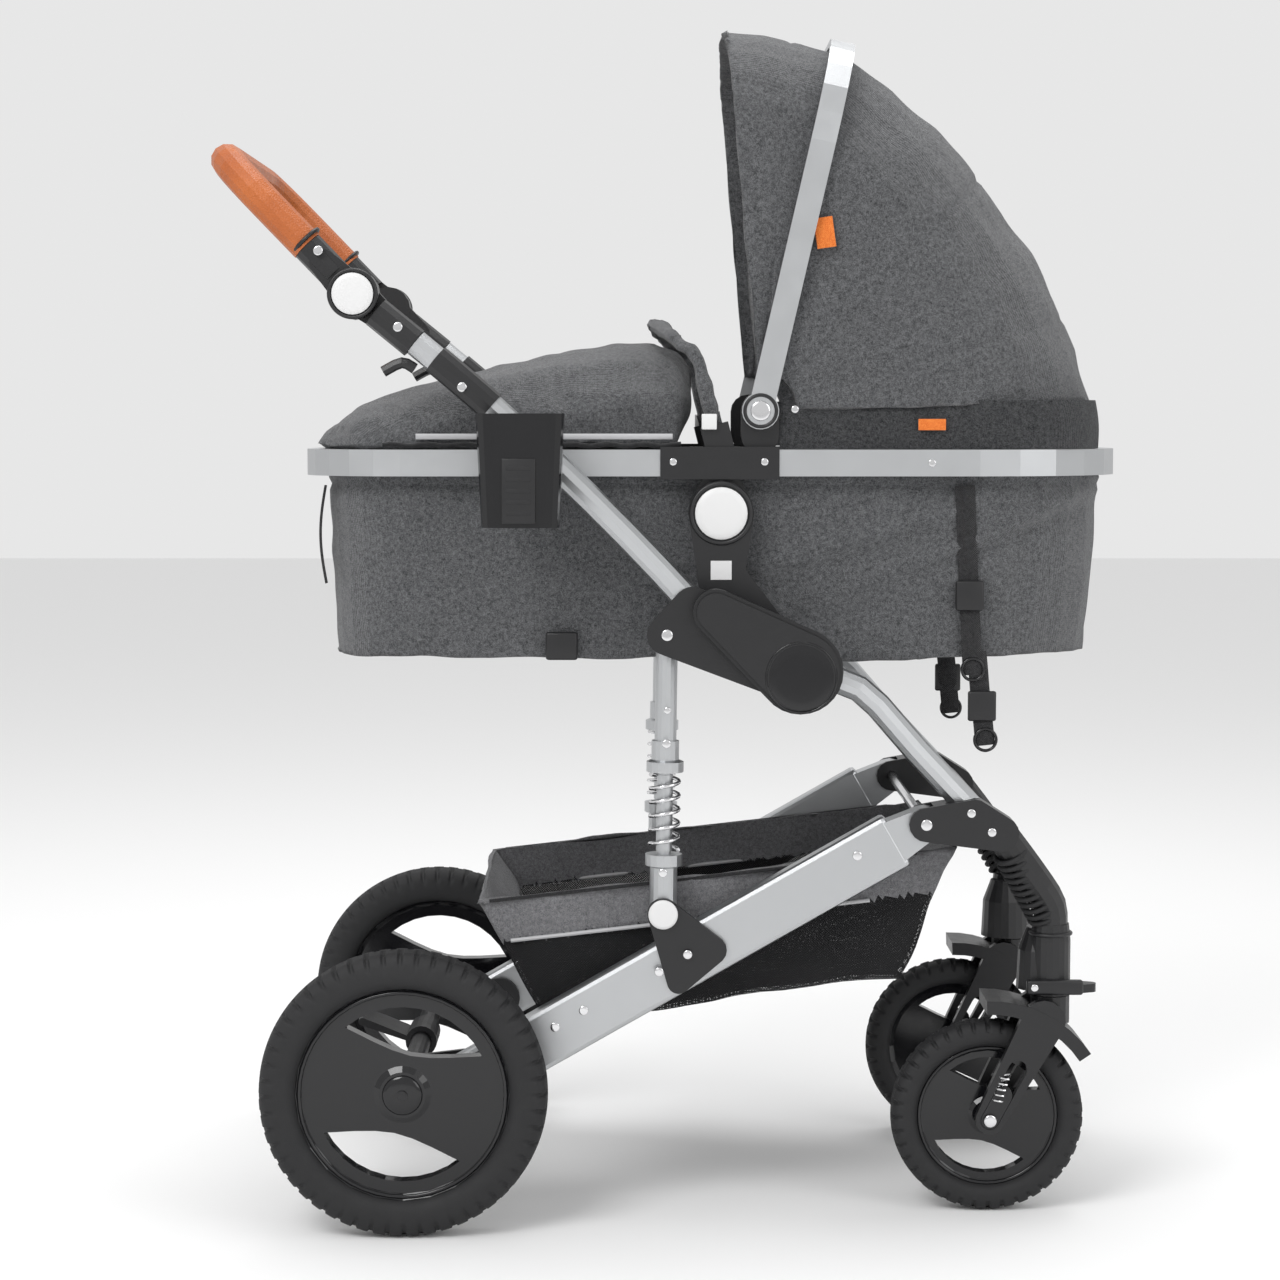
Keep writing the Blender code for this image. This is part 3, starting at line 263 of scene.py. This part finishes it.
def tube(name, points, radius, look, body, closed=False, steps=12, flat=1.0, lift=(0, 1, 0)):
    # A round or flattened bar along the points, as a swept grid.
    grid = bmesh.new()
    rings = []
    count = len(points)
    for i, point in enumerate(points):
        before = points[(i - 1) % count] if closed or i else point
        after = points[(i + 1) % count] if closed or i < count - 1 else point
        ahead = (after - before).normalized()
        side = ahead.cross(Vector(lift))
        side = side.normalized() if side.length > 1e-6 else ahead.orthogonal().normalized()
        top = side.cross(ahead).normalized()
        rings.append([grid.verts.new(point + side * radius * math.cos(math.tau * k / steps)
                                     + top * radius * flat * math.sin(math.tau * k / steps))
                      for k in range(steps)])
    for i in range(count if closed else count - 1):
        a, b = rings[i], rings[(i + 1) % count]
        for k in range(steps):
            grid.faces.new((a[k], a[(k + 1) % steps], b[(k + 1) % steps], b[k]))
    if not closed:
        grid.faces.new(rings[0])
        grid.faces.new(rings[-1])
    return madePiece(name, grid, look, body)


def button(name, centre, radius, height, look, body, dome=0.35, steps=32):
    # A round cap or rivet head that faces away from the middle.
    out = 1 if centre[1] > 0 else -1
    grid = bmesh.new()
    rings = []
    for share, rise in ((1.0, 0.0), (1.0, 1 - dome), (0.93, 1 - dome * 0.35), (0.75, 1.0), (0.35, 1.04)):
        rings.append([grid.verts.new((centre[0] + radius * share * math.cos(math.tau * k / steps),
                                      centre[1] + out * height * rise,
                                      centre[2] + radius * share * math.sin(math.tau * k / steps)))
                      for k in range(steps)])
    for a, b in zip(rings, rings[1:]):
        for k in range(steps):
            grid.faces.new((a[k], a[(k + 1) % steps], b[(k + 1) % steps], b[k]))
    grid.faces.new(rings[0])
    grid.faces.new(rings[-1])
    return madePiece(name, grid, look, body, 50)


def ringOn(name, centre, radius, thick, look, body, normal=(0, 1, 0), steps=48):
    ahead = Vector(normal).normalized()
    side = ahead.orthogonal().normalized()
    top = ahead.cross(side)
    points = [Vector(centre) + (side * math.cos(math.tau * k / steps)
                                + top * math.sin(math.tau * k / steps)) * radius for k in range(steps)]
    return tube(name, points, thick, look, body, True, 10, lift=ahead)


def slab(name, centre, size, look, body, edge=0.0015, turn=0.0, segments=3):
    grid = bmesh.new()
    bmesh.ops.create_cube(grid, size=1.0)
    bmesh.ops.scale(grid, vec=size, verts=grid.verts)
    bmesh.ops.bevel(grid, geom=list(grid.edges), offset=edge, offset_type="OFFSET", segments=segments,
                    profile=0.5, affect="EDGES", material=-1)
    bmesh.ops.rotate(grid, cent=(0, 0, 0), matrix=Matrix.Rotation(math.radians(turn), 3, "Y"),
                     verts=grid.verts)
    bmesh.ops.translate(grid, vec=centre, verts=grid.verts)
    return madePiece(name, grid, look, body)


sides = (("R", -1), ("L", 1))


def softCopy(name, node, look, body, voxel=0.0045, pressure=4.0, cap=0.008, wrinkles=(), heart=None):
    # A sewn cover blown up a little from the plain solid, then creased.
    mesh = nodes[node].data.copy()
    piece = bpy.data.objects.new(name, mesh)
    bpy.context.scene.collection.objects.link(piece)
    mesh.materials.clear()
    mesh.materials.append(look)
    if pressure:
        remesh = piece.modifiers.new("even", "REMESH")
        remesh.mode = "VOXEL"
        remesh.voxel_size = voxel
        remesh.use_smooth_shade = True
        piece.modifiers.new("soften", "SMOOTH").iterations = 4
        keepMesh(piece)
    else:
        evenOut(piece, voxel * denseShare)
    rest = [v.co.copy() for v in piece.data.vertices]
    if pressure:
        cloth = piece.modifiers.new("blown", "CLOTH")
        settings = cloth.settings
        settings.quality = 4
        settings.mass = 0.3
        settings.tension_stiffness = settings.compression_stiffness = 8.0
        settings.bending_stiffness = 0.4
        settings.use_pressure = True
        settings.uniform_pressure_force = pressure
        settings.effector_weights.gravity = 0
        cloth.collision_settings.use_collision = False
        for step in range(1, clothSteps + 1):
            bpy.context.scene.frame_set(step)
        keepMesh(piece)
        bpy.context.scene.frame_set(1)
    normals = [v.normal.copy() for v in piece.data.vertices]
    for v, start, normal in zip(piece.data.vertices, rest, normals):
        moved = v.co - start
        if moved.length > cap:
            v.co = start + moved.normalized() * cap
        lift = sum(crease(v.co) for crease in wrinkles)
        inward = heart and normal.dot(v.co - Vector(heart)) < 0
        v.co += normal * (-lift if inward else lift)
    for face in piece.data.polygons:
        face.use_smooth = True
    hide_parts(node)
    if body:
        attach(piece, body)
    print("cover", name, len(piece.data.vertices))
    return piece


def evenOut(piece, longest):
    # Splits every long edge until the cover has enough points to crease.
    grid = bmesh.new()
    grid.from_mesh(piece.data)
    bmesh.ops.remove_doubles(grid, verts=grid.verts, dist=0.00001)
    bmesh.ops.triangulate(grid, faces=grid.faces)
    for turn in range(9):
        longEdges = [e for e in grid.edges if e.calc_length() > longest]
        if not longEdges:
            break
        bmesh.ops.subdivide_edges(grid, edges=longEdges, cuts=1)
        bmesh.ops.triangulate(grid, faces=[f for f in grid.faces if len(f.verts) > 3])
    bmesh.ops.recalc_face_normals(grid, faces=grid.faces)
    grid.to_mesh(piece.data)
    grid.free()
    piece.data.update()


def keepMesh(piece):
    graph = bpy.context.evaluated_depsgraph_get()
    fresh = bpy.data.meshes.new_from_object(piece.evaluated_get(graph))
    piece.modifiers.clear()
    old = piece.data
    piece.data = fresh
    bpy.data.meshes.remove(old)


def fold(start, end, width, height, fade=0.25):
    # A crease along a line seen from the side, strongest in its middle.
    a, b = Vector(start), Vector(end)
    run = b - a

    def lift(point):
        spot = Vector((point.x, point.z)) - a
        t = spot.dot(run) / run.length_squared
        if t < -0.3 or t > 1.3:
            return 0.0
        off = (spot - run * t).length / width
        ends = min(1.0, max(0.0, (t + fade) / fade)) * min(1.0, max(0.0, (1 + fade - t) / fade))
        return height * ends * math.exp(-off * off)
    return lift


def crumple(scale, height, seed=0.0):
    def lift(point):
        return height * noise.noise(Vector((point.x, point.y * 0.6, point.z)) * scale
                                    + Vector((seed, seed, seed)))
    return lift


def seam(inside, depth, width):
    # A stitched valley where the given distance is small.
    def lift(point):
        off = inside(point) / width
        return -depth * math.exp(-off * off)
    return lift


# Carrycot
softCopy("carrycotShell", "seat_tub", looks["melange_fabric"], "seat", 0.0045, 0, 0.005, [
    fold((0.43, 0.765), (0.17, 0.645), 0.012, 0.0075), fold((0.39, 0.735), (0.13, 0.628), 0.010,
                                                            -0.0070),
    fold((0.30, 0.75), (0.10, 0.69), 0.013, 0.0065), fold((-0.33, 0.70), (-0.10, 0.675), 0.016, 0.0045),
    fold((-0.30, 0.655), (0.05, 0.637), 0.015, 0.0026), fold((-0.05, 0.76), (0.02, 0.64), 0.016, 0.0026),
    fold((-0.22, 0.765), (-0.16, 0.66), 0.018, -0.0022), crumple(9.0, 0.0075, 3.0), crumple(30.0,
                                                                                            0.0018),
    seam(lambda p: p.z - 0.776, 0.0028, 0.003), seam(lambda p: p.x - 0.255, 0.002, 0.003)],
    heart=(0.045, 0.0, 0.70))

footCover = softCopy("footApron", "foot_cover", looks["melange_fabric"], "seat", 0.0042, 5.0, 0.007, [
    fold((-0.32, 0.85), (-0.08, 0.905), 0.012, 0.0035), fold((-0.24, 0.84), (-0.02, 0.86), 0.014,
                                                             0.0035),
    fold((-0.14, 0.90), (-0.09, 0.83), 0.012, -0.003), crumple(14.0, 0.0085, 7.0), crumple(40.0,
                                                                                           0.0022)])

# Hood
pivot = bodyOf["canopy"]


def rayAngle(point):
    return math.degrees(math.atan2(point.z - pivot.z, point.x - pivot.x))


def alongRay(angle):
    return lambda p: math.radians(rayAngle(p) - angle) * math.hypot(p.x - pivot.x, p.z - pivot.z)


softCopy("hoodVisor", "canopy_visor", looks["melange_fabric"], "canopy", 0.0042, 0, 0.004,
                 [seam(alongRay(85.0), 0.002, 0.0026), crumple(14.0, 0.0050, 5.0),
                  seam(alongRay(96.0), 0.0016, 0.002)], heart=(0.09, 0.0, 0.95))
rear = softCopy("hoodRear", "canopy_rear", looks["melange_fabric"], None, 0.0042, 0, 0.004,
                [seam(alongRay(46.0), 0.0024, 0.003), seam(alongRay(17.0), 0.002, 0.003),
                 crumple(9.0, 0.0090, 9.0), crumple(26.0, 0.0028, 2.0)], heart=(0.12, 0.0, 0.88))
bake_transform(rear)


def hoodSkirt():
    # A cloth strip from the hood's lowest seam down to the rail, bent round the head end.
    grid = bmesh.new()
    half, corner, tail, front = 0.1735, 0.095, 0.4615, 0.112
    path = [Vector((front + (tail - corner - front) * i / 30, -half, 0)) for i in range(30)]
    path += [Vector((tail - corner + corner * math.sin(math.pi * i / 48),
                     -half + corner - corner * math.cos(math.pi * i / 48), 0)) for i in range(25)]
    path += [Vector((p.x, -p.y, 0)) for p in reversed(path)]
    rows = []
    for k in range(9):
        z = 0.8145 + (0.866 - 0.8145) * k / 8
        row = []
        for p in path:
            inward = Vector((0.14, 0, 0)) - p
            inward.z = 0
            drift = 0.0025 * noise.noise(Vector((p.x, p.y, z)) * 22.0) + 0.004 * (k / 8) ** 2
            row.append(grid.verts.new(Vector((p.x, p.y, z)) + inward.normalized() * drift))
        rows.append(row)
    for a, b in zip(rows, rows[1:]):
        for i in range(len(path) - 1):
            grid.faces.new((a[i], a[i + 1], b[i + 1], b[i]))
    bmesh.ops.solidify(grid, geom=list(grid.faces), thickness=0.0016)
    return madePiece("hoodSkirt", grid, looks["melange_fabric"], "seat", 60)


skirt = hoodSkirt()

softCopy("barSleeve", "bumper_bar", looks["melange_fabric"], "bumper", 0.0030, 0, 0.004,
                    [crumple(60.0, 0.0026, 4.0), crumple(26.0, 0.0022, 1.0)])
print("soft goods")

# Basket
basketLow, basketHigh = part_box("basket")
basket = softCopy("basketBag", "basket", looks["mesh_fabric"], "rear_frame", 0.0045, 0, 0.004,
                  [crumple(12.0, 0.0075, 6.0), crumple(34.0, 0.0020)], heart=(0.04, 0.0, 0.33))
basket.data.materials.append(looks["band"])
rimFront = bodyOf["rail_pivot"] + Vector((0.036, 0, -0.030))
rimRear = rimFront + Vector((-0.510, 0, -0.058))


def rimHeight(x):
    return rimRear.z + (x - rimRear.x) * (rimFront.z - rimRear.z) / (rimFront.x - rimRear.x)


for face in basket.data.polygons:
    if face.center.z > rimHeight(face.center.x) - 0.046:
        face.material_index = 1
print("basket")


# Wheels
def tyre(name, centre, radius, halfWidth, inner, lugs, body):
    # A full-spin tyre whose tread blocks are pressed into its own surface.
    grid = bmesh.new()
    around = lugs * lugSteps
    profile = [math.tau * k / tyreSteps for k in range(tyreSteps)]
    rings = []
    for i in range(around):
        turn = math.tau * i / around
        phase = (i % lugSteps) / lugSteps
        ring = []
        for k, a in enumerate(profile):
            outward = math.cos(a)
            across = math.sin(a)
            middle = (radius + inner) / 2
            reach = (radius - inner) / 2
            r = middle + reach * math.copysign(abs(outward) ** 0.75, outward)
            y = halfWidth * math.copysign(abs(across) ** 0.72, across)
            if outward > 0.30:
                shifted = (phase + (0.5 if y > 0 else 0.0)) % 1
                gap = shifted < 0.24
                if abs(y) > halfWidth * 0.30 and gap:
                    r -= 0.0030
                    y *= 0.97
                if abs(abs(y) - halfWidth * 0.28) < halfWidth * 0.09:
                    r -= 0.0018
            ring.append(grid.verts.new((centre.x + r * math.cos(turn), centre.y + y,
                                        centre.z + r * math.sin(turn))))
        rings.append(ring)
    for i in range(around):
        a, b = rings[i], rings[(i + 1) % around]
        for k in range(tyreSteps):
            grid.faces.new((a[k], a[(k + 1) % tyreSteps], b[(k + 1) % tyreSteps], b[k]))
    return madePiece(name, grid, looks["tyre_rubber"], body, 35)


for side, out in sides:
    for end, width, lugs in (("rear", 0.0230, 52), ("front", 0.0190, 40)):
        node = end + "_tyre_" + side
        low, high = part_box(node)
        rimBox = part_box(end + "_rim_" + side)
        centre = (low + high) / 2
        radius = (high.z - low.z) / 2
        rimRadius = (rimBox[1].z - rimBox[0].z) / 2
        made = tyre(end + "Tyre" + side, centre, radius, (high.y - low.y) / 2, rimRadius - 0.002, lugs,
                    end + "_wheel_" + side)
        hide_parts(node)
        face = rimBox[1].y if out > 0 else rimBox[0].y
        ringOn(end + "RimLip" + side, (centre.x, face - out * 0.001, centre.z), rimRadius * 0.965,
               0.0022,
               looks["gloss"], end + "_wheel_" + side)
    axle = bodyOf["fork_slider_" + side]
    button("frontAxleBolt" + side, (axle.x, out * 0.2035, axle.z), 0.0068, 0.0030, looks["bright_steel"],
           "fork_slider_" + side)
    hubAt = bodyOf["rear_wheel_" + side]
    button("rearHubCap" + side,
           (hubAt.x, out * (abs(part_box("rear_rim_" + side)[0 if out < 0 else 1].y) - 0.003),
                                 hubAt.z), 0.021, 0.006, looks["gloss"], "rear_wheel_" + side, 0.5)
print("wheels")

# Caps, rivets and springs
hub, strutTop, strutFoot = bodyOf["handle_frame"], bodyOf["struts"], bodyOf["shock_rods"]
handleAt, seatAt = bodyOf["handle"], bodyOf["seat"]
rivets = [
    ("armRivet", "handle", -0.3662, 1.0186, 0.2250, 0.0050),
    ("jointRivet", "handle_frame", -0.2851, 0.9406, 0.2205, 0.0050),
    ("sleeveRivet", "handle_frame", -0.2191, 0.8787, 0.2206, 0.0050),
    ("lobeRivet", "handle_frame", strutTop.x, strutTop.z, 0.2250, 0.0060),
    ("strutRivet", "struts", -0.0073, 0.5080, 0.2238, 0.0046),
    ("strutPin", "struts", -0.0064, 0.5430, 0.2238, 0.0036),
    ("rodRivet", "shock_rods", -0.0110, 0.3720, 0.2236, 0.0046),
    ("bracketRivetA", "rear_frame", 0.0149, 0.2864, 0.2280, 0.0048),
    ("bracketRivetB", "rear_frame", -0.0150, 0.2680, 0.2280, 0.0048),
    ("railScrewA", "rear_frame", -0.1244, 0.2074, 0.2190, 0.0050),
    ("railScrewB", "rear_frame", -0.0943, 0.2251, 0.2190, 0.0050),
    ("railScrewC", "rear_frame", 0.1928, 0.3894, 0.2190, 0.0050),
    ("pivotRivet", "frame", 0.2646, 0.4226, 0.2250, 0.0060),
    ("noseRivetA", "frame", 0.3113, 0.4350, 0.2250, 0.0046),
    ("noseRivetB", "frame", 0.3330, 0.4150, 0.2250, 0.0046),
    ("hoopRivetA", "seat", -0.0003, 0.8010, 0.1868, 0.0040),
    ("hoopRivetB", "seat", 0.0957, 0.8010, 0.1868, 0.0040),
    ("hoopRivetC", "seat", 0.2716, 0.7998, 0.1838, 0.0040),
    ("hoodRivet", "canopy", 0.1271, 0.8560, 0.1888, 0.0040),
]
for side, out in sides:
    for name, body, x, z, y, r in rivets:
        button(name + side, (x, out * y, z), r, 0.0018, looks["bright_steel"], body)
    button("handleCap" + side, (handleAt.x, out * 0.2248, handleAt.z), 0.0215, 0.0030,
           looks["white_button"], "handle", 0.5)
    ringOn("handleCapRing" + side, (handleAt.x, out * 0.2250, handleAt.z), 0.0243, 0.0021,
           looks["black_plastic"], "handle")
    button("tiltCap" + side, (seatAt.x, out * 0.1905, seatAt.z), 0.0275, 0.0040, looks["white_button"],
           "frame", 0.5)
    ringOn("tiltRing" + side, (seatAt.x, out * 0.1908, seatAt.z), 0.0312, 0.0026,
           looks["black_plastic"], "frame")
    button("hoodCap" + side, (pivot.x, out * 0.1885, pivot.z), 0.0105, 0.0026, looks["bright_steel"],
           "canopy", 0.4)
    ringOn("hoodCapRing" + side, (pivot.x, out * 0.1887, pivot.z), 0.0165, 0.0020,
           looks["black_plastic"], "canopy")
    button("strutDisc" + side, (strutFoot.x, out * 0.2278, strutFoot.z), 0.0155, 0.0030,
           looks["white_button"], "rear_frame", 0.5)
    ringOn("hubInlayRing" + side, (hub.x, out * 0.2424, hub.z), 0.0365, 0.0013, looks["gloss"], "frame")
    button("hubInlay" + side, (hub.x, out * 0.2420, hub.z), 0.0335, 0.0017, looks["gloss"], "frame",
           0.3, 48)
    slab("socketButton" + side, (0.0375, out * 0.1872, 0.8430), (0.0160, 0.0050, 0.0165),
         looks["white_button"], "seat", 0.0012)
    slab("hoodTagLow" + side, (0.2720, out * 0.1765, 0.8400), (0.0290, 0.0022, 0.0120), looks["tag"],
         "seat", 0.0006)

    # Suspension coil and its core rod
    low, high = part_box("shock_spring_" + side)
    foot, head = Vector((0, 0, low.z + 0.003)), Vector((0, 0, high.z - 0.003))
    middle = (low + high) / 2
    lean = (strutTop.x - strutFoot.x) / (strutTop.z - strutFoot.z)
    turns = 5.5
    coil = []
    for i in range(int(turns * 24) + 1):
        a = math.tau * i / 24
        z = foot.z + (head.z - foot.z) * i / (turns * 24)
        coil.append(Vector((strutFoot.x + (z - strutFoot.z) * lean + 0.0150 * math.cos(a),
                            middle.y + 0.0150 * math.sin(a), z)))
    spring = tube("strutCoil" + side, coil, 0.0021, looks["bright_steel"], None, False, 10)
    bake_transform(spring)
    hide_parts("shock_spring_" + side)
    rodLow = Vector((strutFoot.x + (foot.z - strutFoot.z) * lean, middle.y, foot.z))
    rodHigh = Vector((strutFoot.x + (head.z - strutFoot.z) * lean, middle.y, head.z))
    core = tube("strutCore" + side, [rodLow, rodLow.lerp(rodHigh, 0.5), rodHigh], 0.0085,
                looks["frame_aluminium"],
                None, False, 20)
    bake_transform(core)

    # Ribbed gaiter ahead of the front joint
    top, tip = Vector((0.3560, out * 0.2020, 0.3900)), Vector((0.3960, out * 0.1700, 0.3200))
    for i in range(11):
        spot = top.lerp(tip, i / 10)
        ringOn("gaiterRib%s%02d" % (side, i), spot, 0.0168, 0.0030, looks["tyre_rubber"], "frame",
               tip - top, 36)
    castor = bodyOf["castor_" + side]
    ringOn("socketCollar" + side, (castor.x, castor.y, 0.2990), 0.0212, 0.0022, looks["black_plastic"],
           "frame", (0, 0, 1))
    slab("swivelLock" + side, (castor.x + 0.002, castor.y + out * 0.0215, 0.2440), (0.060, 0.010, 0.016),
         looks["black_plastic"], "frame", 0.0030)
    button("swivelLockPin" + side, (castor.x - 0.020, castor.y + out * 0.0262, 0.2440), 0.0040, 0.0016,
           looks["bright_steel"], "frame")
    # Exposed spring inside the fork
    slider = bodyOf["fork_slider_" + side]
    wire = [Vector((slider.x + 0.0075 + 0.0045 * i / 40 * 2 + 0.0060 * math.cos(i * 0.785),
                    out * 0.2010 + out * 0.0030 * math.sin(i * 0.785),
                    slider.z + 0.0200 + 0.0300 * i / 40)) for i in range(41)]
    tube("forkCoil" + side, wire, 0.0011, looks["bright_steel"], "castor_" + side, False, 8)
print("hardware")

# Straps on the carrycot
for side, out in sides:
    y = out * 0.1655
    for label, x, z0, z1 in (("A", 0.318, 0.575, 0.776), ("B", 0.332, 0.500, 0.600)):
        points = [Vector((x - 0.010 * t, y + out * 0.0016 * math.sin(t * 9), z0 + (z1 - z0) * t))
                  for t in [i / 24 for i in range(25)]]
        tube("cotStrap" + label + side, points, 0.0105, looks["webbing"], "seat", False, 12, 0.13,
             (0, 1, 0))
        slab("cotBuckle" + label + side, (x - 0.004, y + out * 0.003, z0 + (z1 - z0) * 0.42),
             (0.030, 0.0065, 0.032),
             looks["black_plastic"], "seat", 0.0024)
        ringOn("cotRing" + label + side, (x, y + out * 0.003, z0 + 0.006), 0.0115, 0.0017,
               looks["gloss"], "seat")
    slab("sideBuckle" + side, (-0.118, y + out * 0.0022, 0.606), (0.034, 0.007, 0.030),
         looks["black_plastic"], "seat", 0.003)
    loop = [Vector((-0.372 - 0.006 * math.sin(math.pi * i / 20), out * 0.120,
                    0.775 - 0.105 * i / 20)) for i in range(21)]
    tube("cotLoop" + side, loop, 0.0085, looks["webbing"], "seat", False, 12, 0.14, (1, 0, 0))
    # Apron piping and zip
    low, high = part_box("foot_cover")
    edge = [Vector((low.x + 0.085 + (high.x - low.x - 0.088) * i / 40, out * 0.1765,
                    0.8185 + 0.0012 * math.sin(i * 1.3)))
            for i in range(41)]
    tube("apronPiping" + side, edge, 0.0026, looks["piping"], "seat", False, 10)
    zipLine = [Vector((low.x + 0.120 + 0.270 * i / 40, out * 0.1775, 0.8275)) for i in range(41)]
    tube("apronZip" + side, zipLine, 0.0030, looks["silver"], "seat", False, 8, 0.35)

# Basket band piping
for side, out in sides:
    for label, drop in (("Top", 0.001), ("Low", 0.046)):
        low, high = basketLow, basketHigh
        points = []
        for i in range(41):
            x = low.x + 0.014 + drop * 0.5 + (high.x - low.x - 0.055 - drop * 1.6) * i / 40
            points.append(Vector((x, out * (high.y + 0.0004), rimHeight(x) - drop)))
        tube("basketPiping" + label + side, points, 0.0022,
             looks["silver" if drop > 0.01 else "piping"], "rear_frame", False, 8)

# Grip end rings, cup holder window and its slots
for side, out in sides:
    ringOn("gripEnd" + side, (-0.3805, out * 0.2065, 1.0300), 0.0165, 0.0022, looks["black_plastic"],
           "handle",
           (math.cos(handleAngle), 0, math.sin(handleAngle)))
cupLow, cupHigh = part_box("cup_holder")
cupX = (cupLow.x + cupHigh.x) / 2
nodes["cup_holder"].data.materials[0] = looks["gloss"]
for i in range(5):
    slab("cupSlot%d" % i, (cupX - 0.001, cupLow.y + 0.0004, 0.7500 + i * 0.0115),
         (0.026, 0.0020, 0.0048),
         looks["tyre_rubber"], "handle_frame", 0.0009)
slab("cupWindow", (cupX - 0.001, cupLow.y + 0.0006, 0.7730), (0.034, 0.0018, 0.066),
     looks["black_plastic"],
     "handle_frame", 0.0008)
slab("hoodTagHigh", (0.1580, -0.1802, 1.0400), (0.020, 0.0022, 0.032), looks["tag"], "canopy", 0.0006,
     -8)

# Floor, lights and camera
floorGrid = bmesh.new()
bmesh.ops.create_grid(floorGrid, x_segments=1, y_segments=1, size=14)
floor = madePiece("studioFloor", floorGrid, plasticLook("paper", (0.86, 0.86, 0.86), 0.9, 30.0,
                                                        0.00001), None)
world = bpy.data.worlds.new("studio")
world.use_nodes = True
world.node_tree.nodes["Background"].inputs[0].default_value = (1.0, 1.0, 1.0, 1)
world.node_tree.nodes["Background"].inputs[1].default_value = 0.80
bpy.context.scene.world = world
bpy.context.scene.view_settings.view_transform = "Standard"
for name, spot, size, power in (("key", (-1.6, -2.6, 3.2), 1.6, 70.0),
                                ("fill", (2.6, -2.4, 1.8), 1.8, 22.0),
                                ("top", (0.2, 0.6, 3.6), 2.0, 45.0)):
    light = bpy.data.lights.new(name, "AREA")
    light.size, light.energy = size, power
    lamp = bpy.data.objects.new(name, light)
    lamp.location = spot
    lamp.rotation_euler = (Vector((0, 0, 0.55)) - Vector(spot)).to_track_quat("-Z", "Y").to_euler()
    bpy.context.scene.collection.objects.link(lamp)
lens = bpy.data.cameras.new("lens")
lens.lens = 79.9
camera = bpy.data.objects.new("camera", lens)
camera.location = (-0.035, -3.17, 0.847)
camera.rotation_euler = (math.radians(90 - 4.47), 0, 0)
bpy.context.scene.collection.objects.link(camera)
bpy.context.scene.camera = camera
print("studio")
